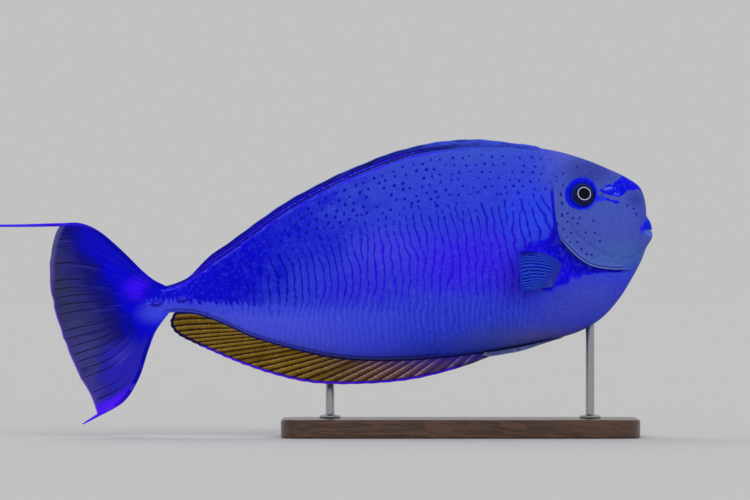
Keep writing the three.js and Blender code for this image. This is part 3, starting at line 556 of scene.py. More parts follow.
# Pale upright bands of the low flank, closer set than the lines, and the wave that frays the
# edge where the deep blue of the rear flank ends.
PALE_PER_LINE = 1.3
pale_wave = add_node(tree, "Math", {0: unforked, 1: PALE_PER_LINE * TURN}, operation="MULTIPLY")
pale_wave = add_node(tree, "Math", {0: pale_wave}, operation="SINE")
band_edge = add_node(tree, "MapRange", {"Value": x, 1: -335.0, 2: -196.0, 3: -3.0, 4: -29.0},
                     clamp=False)
below_band = add_node(tree, "Math", {0: band_edge, 1: z}, operation="SUBTRACT")
below_band = add_node(tree, "Math", {0: pale_wave, 1: 1.2, 2: below_band}, operation="MULTIPLY_ADD")
below_band = add_node(tree, "Math", {0: ragged, 1: 7.0, 2: below_band}, operation="MULTIPLY_ADD")
FRAY = 3.5  # mm, what the noise adds on average

# Ground colours, from the flank's middle blue.
ragged_edge = add_node(tree, "MapRange", {"Value": ragged, 1: NOISE_LOW, 2: NOISE_HIGH, 3: -0.6, 4: 0.6},
                       clamp=False)
mask_edge = add_node(tree, "Math", {0: near["mask"], 1: ragged_edge}, operation="ADD")
patch_edge = add_node(tree, "Math", {0: ragged_edge, 1: 2.2, 2: near["patch"]}, operation="MULTIPLY_ADD")
stretched = add_node(tree, "Mapping", {"Vector": fish, "Scale": (0.9, 0.9, 0.22)})
brushed = add_node(tree, "TexNoise", {"Vector": stretched, "Scale": 0.5, "Detail": 2.0})
wet_edge = add_node(tree, "MapRange", {"Value": quick, 1: NOISE_LOW, 2: NOISE_HIGH, 3: -16.0, 4: 16.0},
                    clamp=False)
rearward = add_node(tree, "Math", {0: z, 1: -0.35, 2: x}, operation="MULTIPLY_ADD")
rearward = add_node(tree, "Math", {0: rearward, 1: wet_edge}, operation="ADD")
flank = spray(tree, linear("#2a38d2"), (
    # painted light: these two layers make the flank lighter and greyer towards the back, as if lit from
    # above
    ("#344ac0", (near["below_back"], 40.0, 6.0), (x, -300.0, -215.0)),
    ("#2e3ecc", (near["below_back"], 62.0, 36.0), (x, -270.0, -190.0, 0.6)),
))
flank = airbrush(tree, flank, fish, (
    ("#2640e2", -84, 22, 30, 30, 0.95),
    # painted light: a paler grey-blue over the upper flank near the back
    ("#3650bc", -104, 74, 60, 18, 0.6),
    ("#3c3cda", -184, 11, 52, 24, 0.85),
    ("#3420e8", -132, -4, 62, 30, 0.9),
    ("#302ada", -212, -12, 46, 24, 0.8),
    ("#3420e2", -98, -20, 30, 24, 0.7),
    ("#2233cc", -150, -40, 70, 16, 0.5),
    ("#2434bc", -185, -58, 80, 14, 0.9),
))
flank = spray(tree, flank, (
    ("#1822c8", (rearward, -196.0, -256.0), (z, -2.0, 22.0)),
    ("#0403c8", (rearward, -244.0, -296.0), (z, -18.0, 2.0)),
    ("#0604c8", (x, -262.0, -300.0)),
    ("#0402b0", (brushed, 0.5, 0.3, 0.12), (x, -235.0, -280.0)),
    ("#1c0ce4", (brushed, 0.5, 0.7, 0.5), (x, -300.0, -325.0)),
    ("#3a44dc", (below_band, FRAY - 2.0, FRAY + 1.5), (x, -150.0, -215.0)),
    ("#4a52e0", (below_band, FRAY + 3.0, FRAY + 10.0, 0.8), (x, -200.0, -260.0)),
))
flank = airbrush(tree, flank, fish, (
    ("#3642a8", -112, -60, 62, 20, 0.9),
    ("#3a43be", -48, -42, 42, 30, 1.0),
    ("#4e4ea2", -84, -66, 48, 16, 0.95),
    ("#3b42b8", -70, -46, 36, 20, 0.7),
))
along_back = add_node(tree, "Mapping", {"Vector": fish, "Scale": (0.05, 1.0, 0.3)})
along_back = add_node(tree, "TexNoise", {"Vector": along_back, "Scale": 1.0, "Detail": 2.0})
on_back = add_node(tree, "Math", {0: along_back, 1: 2.4, 2: near["below_back"]}, operation="MULTIPLY_ADD")
flank = spray(tree, flank, (
    ("#0b1070", (on_back, 3.4, 2.4, 0.9), (x, -108.0, -140.0)),
    ("#10188c", (on_back, 3.6, 2.6, 0.8), (along_back, 0.42, 0.54), (x, -60.0, -72.0),
     (x, -140.0, -108.0)),
    ("#2c14e8", (on_back, 4.6, 4.2), (on_back, 3.2, 3.6, 0.9), (x, -100.0, -150.0)),
    ("#5864f0", (on_back, 5.3, 4.9, 0.5), (on_back, 4.2, 4.7), (along_back, 0.5, 0.56),
     (x, -100.0, -150.0)),
    # along the belly's edge over the anal fin: a dark line, and under it a pale grey-blue line that is a
    # painted highlight of the belly's lower edge
    ("#10166c", (near["above_belly"], 3.0, 2.4, 0.6), (near["above_belly"], 1.2, 1.8), (x, -150.0, -170.0)),
    ("#4a568c", (near["above_belly"], 1.8, 1.2, 0.7), (x, -150.0, -190.0), (x, -250.0, -230.0)),
))
low_flank = ((over_foot, 6.0, -8.0), (z, -60.0, -44.0), (past_breast, 0.0, -14.0))
line_colour = spray(tree, linear("#0a0cc4"), (
    ("#2a04dc", (x, -222.0, -186.0), (x, -84.0, -104.0), (z, 30.0, 12.0)),
    ("#0403ac", (x, -225.0, -265.0)),
    ("#1010b0", (over_top, -10.0, 0.0)),
))
flank = spray(tree, flank, (
    ("#4452e2", (pale_wave, 0.1, 0.8, 0.36), *low_flank, (x, -326.0, -290.0)),
    ("#1e28b0", (pale_wave, 0.0, -0.8, 0.14), *low_flank, (x, -300.0, -262.0)),
    (line_colour, *line_shares),
    ("#0a08a4", *dot_shares),
    ("#1006dc", (patch_edge, 1.4, -2.0)),
    # darker blue behind the gill slit, above the pectoral fin's root: partly the fish's own dark patch,
    # partly painted shade
    ("#0502b8", (near["gill"], -14.0, -6.0, 0.9), (patch_edge, -0.5, -3.0), (z, 14.0, -2.0)),
    ("#02028c", (near["gill"], -5.0, -1.5, 0.9), (patch_edge, 0.5, -2.0), (z, 20.0, 8.0)),
    ("#3418ee", (brushed, 0.54, 0.68, 0.35), (patch_edge, 4.0, 0.0), (near["gill"], -10.0, -16.0)),
))

# The head's ground is greyer, sprayed over the flank's with a soft edge at the nape and the throat
# and a hard one along the gill slit. Its rim has a pale painted highlight between two dark lines:
# one on the cover, and the slit itself, which is painted shade.
head = airbrush(tree, linear("#4050ac"), fish, (
    # painted highlight: a pale violet sheen over the nape
    ("#545abc", -70, 62, 34, 20, 0.9),
    ("#303a96", -38, 47, 30, 17, 0.95),
    ("#383f96", -12, 33, 16, 12, 0.8),
    ("#3a48b2", -6, 13, 12, 16, 0.9),
    ("#283a92", -8, 23, 10, 7, 0.8),
    ("#405ca8", -30, -16, 30, 18, 0.9),
    ("#3c60a6", -14, -20, 20, 12, 0.8),
    ("#3a42b0", -20, -34, 34, 14, 0.8),
))
low_gill = (z, 12.0, 2.0)
throat_end = (x, -17.0, -27.0)
head = spray(tree, head, (
    ("#12147c", (from_head_dot, HEAD_DOT_EDGE + HEAD_DOT_SOFT, HEAD_DOT_EDGE - HEAD_DOT_SOFT)),
    ("#5062b8", (near["gill"], 6.0, 2.6, 0.6), low_gill, throat_end),
    ("#14207c", (near["gill"], 2.6, 2.1, 0.8), (near["gill"], 1.1, 1.5), low_gill, throat_end),
    # painted highlight: the pale line along the gill cover's rim
    ("#7284ca", (near["gill"], 1.5, 1.0, 0.9), low_gill, throat_end),
))
hard_edge = add_node(tree, "MapRange", {"Value": near["gill"], 1: -0.3, 2: 0.3})
soft_edge = add_node(tree, "MapRange", {"Value": near["gill"], 1: -16.0, 2: 18.0},
                     interpolation_type="SMOOTHSTEP")
nape = add_node(tree, "MapRange", {"Value": z, 1: 30.0, 2: 46.0}, interpolation_type="SMOOTHSTEP")
throat = add_node(tree, "MapRange", {"Value": x, 1: -30.0, 2: -12.0}, interpolation_type="SMOOTHSTEP")
soft = add_node(tree, "Math", {0: nape, 1: throat}, operation="MAXIMUM")
head_share = add_node(tree, "Mix", {0: soft, 2: hard_edge, 3: soft_edge}, data_type="FLOAT")
from_gill = add_node(tree, "Math", {0: near["gill"]}, operation="ABSOLUTE")
eye_x, eye_z = EYE
from_eye = add_node(tree, "VectorMath", {0: flat, 1: (eye_x, 0, eye_z)},
                    output="Value", operation="DISTANCE")
from_eye = add_node(tree, "Math", {0: ragged_edge, 1: 0.6, 2: from_eye}, operation="MULTIPLY_ADD")
above_eye = add_node(tree, "VectorMath", {0: flat, 1: (eye_x - 1.6, 0, eye_z + 1.8)},
                     output="Value", operation="DISTANCE")
on_lips = (near["station"], 19.9, 20.6)

colour = spray(tree, flank, (
    (head, head_share),
    ("#0a0cc0", (from_gill, 1.5, 0.7), (z, 41.0, 35.0), (z, -4.0, 6.0)),
    # painted shade: the dark line in the lower gill slit
    ("#050a50", (from_gill, 0.8, 0.3), (z, 6.0, -2.0), throat_end),
    ("#0302a8", (near["gill"], -2.4, -1.2), (near["gill"], 0.2, -0.5), (z, -10.0, -16.0), throat_end),
    ("#1c37e1", (from_eye, 11.4, 10.6)),
    ("#060ed6", (above_eye, 12.2, 11.4), (from_eye, 12.6, 11.6)),
    ("#0507d6", (mask_edge, 0.4, -0.4)),
    ("#4a6ae4", (brushed, 0.56, 0.68, 0.8), (mask_edge, -0.4, -1.2), (x, -16.0, -20.0)),
    ("#0303b4", (brushed, 0.45, 0.34, 0.45), (mask_edge, 0.2, -0.8)),
    ("#4566c4", on_lips),
    ("#0c1ad4", on_lips, (z, 0.2, 1.6)),
    # painted shade in the cheek and chin folds
    ("#1c2a80", (near["folds"], 1.3, 0.0, 0.35)),
    # painted shade inside the nostrils
    ("#0405a0", (near["nostril"], 0.95, 0.55, 0.7)),
    # painted shade inside the mouth
    ("#0b0630", (near["station"], 22.1, 22.8)),
    ("#0c1454", (mottle, 0.46, 0.75, 0.08)),
    ("#7f8cf0", (mottle, 0.54, 0.3, 0.05)),
))
colour = airbrush(tree, colour, fish, (
    ("#1420dc", -34.6, 27.4, 4.6, 3.6, 1.0),
    ("#1a2ce0", -31.2, 26.4, 6.0, 2.2, 0.9),
    ("#5a78ee", -26, 33.4, 5.0, 1.5, 0.9),
    ("#0a10cc", -1.2, 26, 1.6, 3.6, 0.9),
    ("#2a08ea", -6.8, 1.6, 2.1, 5.0, 1.0),
))

SCALE_GRAIN = 0.9  # mm, tiny rough scales, drawn twice as coarse as they are so that they show
grain = add_node(tree, "TexVoronoi", {"Vector": fish, "Scale": 1 / SCALE_GRAIN}, output="Distance")
height = add_node(tree, "Math", {0: mottle, 1: 0.8, 2: grain}, operation="MULTIPLY_ADD")
worn = add_node(tree, "MapRange", {"Value": mottle, 1: NOISE_LOW, 2: NOISE_HIGH, 3: 0.4, 4: 0.55})
lacquer(tree, colour, roughness=worn, relief=height, strength=0.1, depth=0.4)
skin.data.materials.append(skin_paint)


# Eyes
# Each is a ready-made glass eye: a low clear dome, black inside the pupil, with a thin silvery
# ring round it and a dark blue-green iris. It is set from inside the head before the cast closes.
PUPIL, RING = 4.05, 4.8  # mm, radii of the pupil and of the silvery ring
PUPIL_AHEAD = 1.1  # of the middle of the iris
CORNEA_RISE = 0.5
SIDES = (("right", -1), ("left", 1))  # and the way that each faces along Y

eye_paint, tree = new_paint("glass_eye_dark_iris")
disc = add_node(tree, "Attribute", output="Vector", attribute_name="disc")
from_centre = add_node(tree, "VectorMath", {0: disc, 1: (PUPIL_AHEAD, 0, 0)},
                       output="Value", operation="DISTANCE")
fibres = add_node(tree, "TexNoise", {"Vector": disc, "Scale": 0.9, "Detail": 4.0})
uneven = add_node(tree, "MapRange", {"Value": fibres, 1: NOISE_LOW, 2: NOISE_HIGH, 3: -0.15, 4: 0.15},
                  clamp=False)
uneven = add_node(tree, "Math", {0: uneven, 1: from_centre}, operation="ADD")
iris_top = add_node(tree, "SeparateXYZ", {0: disc}, output="Y")
colour = spray(tree, linear("#020414"), (
    ("#060c3c", (from_centre, RING, RING + 0.6)),
    ("#0a1c60", (iris_top, -3.0, 8.0, 0.8), (from_centre, RING, RING + 0.8)),
    ("#0a2c40", (fibres, 0.5, 0.7, 0.6), (from_centre, RING, RING + 0.8)),
    ("#0a12a0", (from_centre, 7.8, 8.8)),
    ("#c8d0f4", (uneven, RING + 0.1, RING - 0.3), (from_centre, PUPIL, PUPIL + 0.4)),
))
shader = add_node(tree, "BsdfPrincipled", {
    "Base Color": colour, "Roughness": 0.07, "IOR": 1.5, "Specular IOR Level": 0.12,
})
add_node(tree, "OutputMaterial", {"Surface": shader})


def set_on_side(places, spot, side, sunk):
    """Turns places in mm that face +Y to lie on the cast's side at a spot, as the sockets do."""
    x, z = spot
    reach = 2.0
    tilt_up = math.atan2(half_width_at(x, z - reach) - half_width_at(x, z + reach), 2 * reach)
    tilt_ahead = math.atan2(half_width_at(x - reach, z) - half_width_at(x + reach, z), 2 * reach)
    px, py, pz = places[:, 0], places[:, 1] - sunk, places[:, 2]
    py, pz = (py * math.cos(tilt_up) - pz * math.sin(tilt_up),
              py * math.sin(tilt_up) + pz * math.cos(tilt_up))
    px, py = (px * math.cos(-tilt_ahead) - py * math.sin(-tilt_ahead),
              px * math.sin(-tilt_ahead) + py * math.cos(-tilt_ahead))
    return fish_to_model(px + x, (py + half_width_at(x, z)) * side, pz + z)


for side_name, side in SIDES:
    bm = bmesh.new()
    bmesh.ops.create_uvsphere(bm, u_segments=64, v_segments=48, radius=1)
    if side < 0:
        bmesh.ops.reverse_faces(bm, faces=bm.faces)
    eye = smooth_shape(f"eye_{side_name}_glass", bm)
    dome = read_places(eye.data)[:, [0, 2, 1]] * (1, 1, -1)
    cornea = CORNEA_RISE * (1 - ease(np.hypot(dome[:, 0], dome[:, 2]), 0.2, 0.75)) * (dome[:, 1] > 0)
    flat_disc = np.column_stack([dome[:, 0], dome[:, 2], 0 * dome[:, 0]]) * EYE_RADIUS
    dome = dome * (EYE_RADIUS, EYE_DEPTH, EYE_RADIUS)
    dome[:, 1] += cornea
    write_places(eye.data, set_on_side(dome, EYE, side, EYE_SUNK))
    keep_on_skin(eye.data, "disc", flat_disc)
    eye.data.materials.append(eye_paint)
    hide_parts(f"eye_{side_name}")
    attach(eye, "root")


# Tail fin
# A thin resin cast of the real fin: sixteen rays that fork twice towards the trailing edge,
# between two strong outer rays. The upper one runs on as a long streamer.
CAUDAL_RAYS = 16
CAUDAL_ROOT = [(-94.8, -2.6), (-94.7, 2.35)]
CAUDAL_UPPER = [
    (-94.7, 2.35), (-97.1, 4), (-98.8, 5.8), (-102.8, 11), (-106.6, 15.1), (-109.7, 16.9),
    (-113.3, 17.4),
]
STREAMER = [(-120.5, 18.2), (-130, 19.35), (-139.8, 20.1)]
CAUDAL_LOWER = [
    (-94.8, -2.6), (-98, -5.9), (-99.9, -9.2), (-102.6, -14.6), (-106, -18.6), (-111.5, -20.9),
]
LOWER_POINT = [(-114.7, -22)]
TRAILING = [
    (-111.5, -20.9), (-112.2, -17.1), (-114.4, -11.3), (-116.2, -3.6), (-117.1, 3.8), (-116.6, 10),
    (-114.7, 15.6), (-113.3, 17.4),
]
OUTER_RAY, OUTER_TIP = 1.5, 0.35  # mm, radii
CAUDAL_SWAY, CAUDAL_RIPPLE, CAUDAL_NOTCH = 1.4, 0.25, 0.35  # mm, how far the web bends and frays
# thickness at the root, how much of that is lost further out, and how proud a ray stands
CAUDAL_THICK, CAUDAL_THINNED, CAUDAL_RAY_RISE = 4.5, 3.8, 0.75


def even_line(points):
    """A smooth line sampled by its length, as a function of 0 to 1 that returns mm."""
    line = smooth_line(points)
    stops = line(np.linspace(0, 1, 400))
    run = np.concatenate([[0], np.cumsum(np.linalg.norm(np.diff(stops, axis=0), axis=1))])
    run /= run[-1]
    return lambda t: np.column_stack([np.interp(t, run, stops[:, i]) for i in (0, 1)])


def vane(name, columns, rows, place, thickness):
    """A closed thin fin. place(u, r) gives its middle in mm, u from ray to ray and r along them,
    and thickness(u, r) how thick it is. Its UV map holds u and r, fish its place on the level
    fish, and to_edge how far that is from the rays' tips."""
    bm = bmesh.new()
    bmesh.ops.create_grid(bm, x_segments=columns, y_segments=rows, size=0.5)
    bmesh.ops.solidify(bm, geom=bm.faces[:] + bm.edges[:] + bm.verts[:], thickness=1)
    piece = smooth_shape(name, bm)
    sheet = read_places(piece.data)
    u, r = np.clip(sheet[:, 0] + 0.5, 0, 1), np.clip(sheet[:, 1] + 0.5, 0, 1)
    face = np.where(sheet[:, 2] > sheet[:, 2].mean(), 0.5, -0.5)
    step = 1e-3
    along_u = place(np.minimum(u + step, 1), r) - place(np.maximum(u - step, 0), r)
    along_r = place(u, np.minimum(r + step, 1)) - place(u, np.maximum(r - step, 0))
    outward = np.cross(along_u, along_r)
    outward /= np.maximum(np.linalg.norm(outward, axis=1), 1e-9)[:, None]
    middle = place(u, r)
    write_places(piece.data, fish_to_model(*(middle + outward * (face * thickness(u, r))[:, None]).T))
    tips = place(np.linspace(0, 1, 160), np.ones(160))[:, [0, 2]]
    keep_on_skin(piece.data, "fish", middle)
    keep_on_skin(piece.data, "to_edge", distance_to(tips, middle[:, 0], middle[:, 2]))
    corners = np.empty(len(piece.data.loops), int)
    piece.data.loops.foreach_get("vertex_index", corners)
    uv = piece.data.uv_layers.new(name="rays")
    uv.data.foreach_set("uv", np.column_stack([u, r])[corners].ravel())
    return piece, middle


def ridge(u, rays):
    """1 on each ray and 0 midway between two, rounded."""
    return (1 + np.cos(TURN * u * rays)) / 2


upper_edge, lower_edge = even_line(CAUDAL_UPPER), even_line(CAUDAL_LOWER)
trailing_edge, root_edge = even_line(TRAILING), even_line(CAUDAL_ROOT)


def caudal_place(u, r):
    sides = lower_edge(r) * (1 - u)[:, None] + upper_edge(r) * u[:, None]
    ends = root_edge(u) * (1 - r)[:, None] + trailing_edge(u) * r[:, None]
    low, high = (root_edge(end) * (1 - r)[:, None] + trailing_edge(end) * r[:, None]
                 for end in (np.zeros(1), np.ones(1)))
    spread = sides + ends - (low * (1 - u)[:, None] + high * u[:, None])
    off_sides = np.sin(np.pi * u)
    sway = (CAUDAL_SWAY * np.sin(3.1 * u + 2.2 * r) + CAUDAL_RIPPLE * np.sin(40 * u)) * r ** 2 * off_sides
    notches = CAUDAL_NOTCH * np.sin(23 * u + 2 * np.sin(31 * u)) * r ** 20 * off_sides
    return np.column_stack([spread[:, 0] + notches, sway, spread[:, 1]])


def caudal_thickness(u, r):
    stem = ridge(u + 0.5 / CAUDAL_RAYS, CAUDAL_RAYS)
    branch = ridge(u, 2 * CAUDAL_RAYS)
    twig = ridge(u, 4 * CAUDAL_RAYS)
    forked = stem + (branch - stem) * ease(r, 0.3, 0.5)
    forked = forked + (twig - forked) * ease(r, 0.6, 0.85)
    edge = 1 - ease(r, 0.93, 1.0) * 0.6
    web = CAUDAL_THICK - CAUDAL_THINNED * ease(r, 0.0, 0.5)
    return (web + CAUDAL_RAY_RISE * forked * (1 - 0.45 * r)) * edge


caudal, _ = vane("tail_fin", CAUDAL_RAYS * 16, 64, caudal_place, caudal_thickness)


def outer_ray(name, points, sharpness, lengths, inset):
    """A round tapering ray along a line in the middle plane, thin from its tip on by sharpness.
    inset is 1 for one that lies below its line and -1 for one that lies above it."""
    bm = bmesh.new()
    bmesh.ops.create_cone(bm, cap_ends=True, segments=20, radius1=1, radius2=1, depth=1)
    long_edges = [edge for edge in bm.edges if abs(edge.verts[0].co.z - edge.verts[1].co.z) > 0.5]
    bmesh.ops.subdivide_edges(bm, edges=long_edges, cuts=lengths - 1, use_grid_fill=False)
    piece = smooth_shape(name, bm)
    rod = read_places(piece.data)
    t = np.clip(rod[:, 2] + 0.5, 0, 1)
    line = even_line(points)
    step = 1e-3
    run = line(np.minimum(t + step, 1)) - line(np.maximum(t - step, 0))
    run /= np.linalg.norm(run, axis=1)[:, None]
    thick = OUTER_RAY + (OUTER_TIP - OUTER_RAY) * t ** sharpness
    aside = (rod[:, 0] + inset) * thick
    middle = line(t) + np.column_stack([-run[:, 1], run[:, 0]]) * aside[:, None]
    write_places(piece.data, fish_to_model(middle[:, 0], -rod[:, 1] * thick, middle[:, 1]))
    keep_on_skin(piece.data, "run", t)
    return piece


upper_ray = outer_ray("tail_upper_ray", CAUDAL_UPPER + STREAMER, 1.8, 120, 1)
lower_ray = outer_ray("tail_lower_ray", CAUDAL_LOWER + LOWER_POINT, 8, 60, -1)

tail_paint, tree = new_paint("satin_acrylic_on_tail_fin")
uv = add_node(tree, "UVMap", uv_map="rays")
u, r, _ = add_node(tree, "SeparateXYZ", {0: uv}).node.outputs
fish = add_node(tree, "Attribute", output="Vector", attribute_name="fish")
x, _, z = add_node(tree, "SeparateXYZ", {0: fish}).node.outputs
to_edge = add_node(tree, "Attribute", output="Fac", attribute_name="to_edge")
cloud = add_node(tree, "TexNoise", {"Vector": fish, "Scale": 0.09, "Detail": 3.0})
fine = add_node(tree, "TexNoise", {"Vector": fish, "Scale": 0.9, "Detail": 2.0})
stretched = add_node(tree, "Mapping", {"Vector": uv, "Scale": (46.0, 2.4, 1.0)})
streaks = add_node(tree, "TexNoise", {"Vector": stretched, "Scale": 1.0, "Detail": 2.0})
drift = add_node(tree, "MapRange", {"Value": cloud, 1: NOISE_LOW, 2: NOISE_HIGH, 3: -4.0, 4: 4.0},
                 clamp=False)
lobe = add_node(tree, "MapRange", {"Value": z, 1: -20.0, 2: 60.0, 3: -8.0, 4: 18.0})
reach_x = add_node(tree, "Math", {0: x, 1: drift}, operation="ADD")
reach_x = add_node(tree, "Math", {0: reach_x, 1: lobe}, operation="ADD")
rays_across = add_node(tree, "Math", {0: streaks, 1: 1.6}, operation="MULTIPLY")
rays_across = add_node(tree, "Math", {0: u, 1: TURN * CAUDAL_RAYS * 1.5, 2: rays_across},
                       operation="MULTIPLY_ADD")
ray_wave = add_node(tree, "Math", {0: rays_across}, operation="COSINE")
ray_number = add_node(tree, "Math", {0: rays_across, 1: TURN}, operation="DIVIDE")
ray_number = add_node(tree, "Math", {0: ray_number}, operation="ROUND")
ray_chance = add_node(tree, "TexWhiteNoise", {"W": ray_number}, noise_dimensions="1D")
colour = spray(tree, linear("#30305a"), (
    ("#3a387c", (z, 20.0, -40.0)),
    ("#3c32a0", (z, -40.0, -62.0), (x, -412.0, -396.0)),
    ("#40425f", (z, 40.0, 60.0), (x, -396.0, -412.0)),
    ("#282670", (reach_x, -412.0, -396.0)),
    ("#100f70", (reach_x, -400.0, -386.0)),
    ("#0404a0", (reach_x, -388.0, -376.0)),
    ("#2620ac", (z, -20.0, -34.0), (reach_x, -410.0, -392.0)),
    ("#0401cc", (reach_x, -380.0, -368.0), (z, -34.0, -18.0)),
    ("#4238b8", (streaks, 0.56, 0.7, 0.6), (z, -24.0, -36.0), (to_edge, 8.0, 20.0)),
    ("#3a3a9c", (streaks, 0.56, 0.72, 0.35), (to_edge, 3.0, 10.0)),
    ("#08082c", (ray_wave, 0.86, 0.99, 0.9), (ray_chance, 0.0, 0.45), (reach_x, -378.0, -398.0),
     (to_edge, 1.0, 4.0)),
    ("#1a1a58", (streaks, 0.44, 0.3, 0.5), (x, -384.0, -396.0), (to_edge, 1.0, 6.0)),
    ("#50528a", (to_edge, 4.5, 1.6, 0.7), (z, 10.0, 34.0)),
    ("#0a08b8", (u, 0.8, 0.93), (to_edge, 8.0, 24.0)),
    ("#1c14c8", (u, 0.07, 0.02)),
    ("#4a18ee", (u, 0.075, 0.03), (z, -54.0, -64.0)),
    ("#6c6ea0", (to_edge, 7.0, 2.0, 0.6), (z, -58.0, -66.0), (u, 0.05, 0.16)),
    ("#7a50d8", (to_edge, 1.1, 0.6), (z, 44.0, 30.0)),
    ("#6f6fa0", (to_edge, 0.9, 0.4, 0.8), (z, 30.0, 44.0)),
))
colour = airbrush(tree, colour, fish, (
    # painted highlight: a violet patch on the upper root of the fin
    ("#3a0af4", -362, 10, 14, 12, 0.95),
    ("#3c44dc", -350, -8, 20, 12, 1.0),
    ("#0703c6", -352, 6, 12, 7, 0.9),
))
lacquer(tree, colour, roughness=0.42, relief=fine, strength=0.12, depth=0.2)

ray_paint, tree = new_paint("satin_acrylic_on_outer_rays")
run = add_node(tree, "Attribute", output="Fac", attribute_name="run")
place = add_node(tree, "TexCoord", output="Object")
z_of_ray = add_node(tree, "SeparateXYZ", {0: place}, output="Z")
wash = add_node(tree, "TexNoise", {"Vector": place, "Scale": 160.0, "Detail": 2.0})
colour = spray(tree, linear("#0604a0"), (
    ("#2a16d4", (run, 0.3, 0.46), (z_of_ray, 0.08, 0.1)),
    ("#3a2ae6", (run, 0.5, 0.62), (z_of_ray, 0.08, 0.1)),
    ("#4a14ee", (run, 0.55, 0.85), (z_of_ray, 0.06, 0.04)),
    ("#5540f0", (wash, 0.5, 0.75, 0.5), (run, 0.3, 0.6)),
))
lacquer(tree, colour, roughness=0.4)

for piece, paint, nodes in (
    (caudal, tail_paint, ("caudal_fin",)),
    (upper_ray, ray_paint, ("caudal_fin", "tail_streamer")),
    (lower_ray, ray_paint, ("caudal_fin",)),
):
    piece.data.materials.append(paint)
    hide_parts(*nodes)
    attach(piece, "root")


# Dorsal fin
# Folded down along the back like a closed fan: six spines and twenty-seven soft rays lie one over
# the next, so that only a low dark band with a bright edge shows. It is cast with its root sunk
# into a groove of the back.
DORSAL_FRONT, DORSAL_REAR = -14 * PERCENT, -85 * PERCENT
DORSAL_SWEEP, DORSAL_HEIGHT, DORSAL_RAYS = 6 * PERCENT, 1.25 * PERCENT, 33
DORSAL_RISES = (18.2 * PERCENT, 35.2 * PERCENT)  # behind the lips, from a quarter of its height to all
DORSAL_ROOT = 5.0  # mm, how deep its root is sunk in the body
DORSAL_CREASE = 0.25
DORSAL_THICK, DORSAL_THINNED, DORSAL_RAY_RISE = 3.2, 2.4, 0.8


def dorsal_place(u, r):
    x = DORSAL_FRONT + (DORSAL_REAR - DORSAL_FRONT) * u - DORSAL_SWEEP * r
    rise = DORSAL_HEIGHT * (0.25 + 0.75 * ease(-x, *DORSAL_RISES))
    rise = rise * ease(x - (DORSAL_REAR - DORSAL_SWEEP), -2, 6 * PERCENT)
    crease = DORSAL_CREASE * np.sin(31 * u) * np.sin(77 * u) * r ** 3
    height = line_height(back_line, x) - DORSAL_ROOT + (rise + DORSAL_ROOT) * r + crease
    return np.column_stack([x, 0 * x, height])


def dorsal_thickness(u, r):
    web = DORSAL_THICK - DORSAL_THINNED * r
    return web + DORSAL_RAY_RISE * ridge(u, DORSAL_RAYS) * (1 - 0.4 * r)


dorsal, middle = vane("dorsal_fin_folded", DORSAL_RAYS * 8, 20, dorsal_place, dorsal_thickness)
keep_on_skin(dorsal.data, "above_back", middle[:, 2] - line_height(back_line, middle[:, 0]))

dorsal_paint, tree = new_paint("satin_acrylic_on_dorsal_fin")
fish = add_node(tree, "Attribute", output="Vector", attribute_name="fish")
x, _, z = add_node(tree, "SeparateXYZ", {0: fish}).node.outputs
above_back = add_node(tree, "Attribute", output="Fac", attribute_name="above_back")
to_edge = add_node(tree, "Attribute", output="Fac", attribute_name="to_edge")
laid = add_node(tree, "CombineXYZ", {0: x, 1: above_back})
stretched = add_node(tree, "Mapping", {"Vector": laid, "Scale": (0.06, 1.3, 1.0), "Rotation": (0, 0, 0.03)})
streaks = add_node(tree, "TexNoise", {"Vector": stretched, "Scale": 1.0, "Detail": 3.0})
fine = add_node(tree, "TexNoise", {"Vector": fish, "Scale": 0.5, "Detail": 2.0})
colour = spray(tree, linear("#0e1464"), (
    ("#0a0b98", (x, -205.0, -262.0)),
    ("#3a4ec8", (x, -176.0, -128.0)),
    ("#05053a", (streaks, 0.5, 0.36, 0.85), (x, -120.0, -170.0)),
    ("#101870", (streaks, 0.5, 0.38, 0.85), (x, -176.0, -140.0)),
    ("#2434b8", (streaks, 0.55, 0.66, 0.7), (x, -290.0, -210.0)),
    ("#2418d8", (above_back, 2.6, 2.2), (above_back, 1.5, 1.9, 0.8), (fine, 0.35, 0.5),
     (x, -110.0, -190.0)),
    ("#070748", (above_back, 1.6, 1.3, 0.9), (x, -100.0, -150.0)),
    ("#2c14e8", (above_back, 1.0, 0.6), (x, -120.0, -190.0)),
    ("#5a66f0", (fine, 0.5, 0.66, 0.7), (above_back, 0.9, 0.3), (x, -270.0, -230.0),
     (x, -120.0, -190.0)),
    ("#4f6ad0", (to_edge, 0.7, 0.3, 0.8), (x, -300.0, -250.0)),
))
lacquer(tree, colour, roughness=0.42, relief=streaks, strength=0.3, depth=0.5)
dorsal.data.materials.append(dorsal_paint)
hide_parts("dorsal_fin")
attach(dorsal, "root")


# Anal fin
# A thin resin cast let into the tail half of the belly, half spread, its two spines and twenty-eight
# soft rays swept back. Brown rays stand out on an olive membrane that turns rosy forward, inside a
# violet edge.
ANAL_FRONT, ANAL_REAR, ANAL_RAYS, ANAL_CROWDING = -32.9 * PERCENT, -87.6 * PERCENT, 30, 0.85
ANAL_ARCH = 9.0  # mm, of its last ray, which follows the tail stalk
ANAL_LEAD = 0.27  # of the ray's length along the belly
ANAL_ROOT = 3.5
ANAL_SWAY, ANAL_NOTCH = 0.9, 0.012  # mm, and a share of the ray's length
ANAL_THICK, ANAL_THINNED, ANAL_RAY_RISE = 1.8, 1.15, 0.75
ANAL_MARGIN = [
    (-33.2, -19.6), (-40.5, -21.2), (-50, -22.2), (-60, -21.7), (-70, -20), (-80, -15.9),
    (-90.9, -9.4), (-94.4, -6.7), (-95.1, -4.7), (-94.1, -2.9),
]
anal_margin = even_line(ANAL_MARGIN)
ANAL_EVEN, ANAL_CLOSER, ANAL_POWER = 0.78, 0.2, 5  # the rays stand closer towards the tail


def anal_ridge(u):
    return ridge(ANAL_EVEN * u + ANAL_CLOSER * u ** ANAL_POWER, ANAL_RAYS)


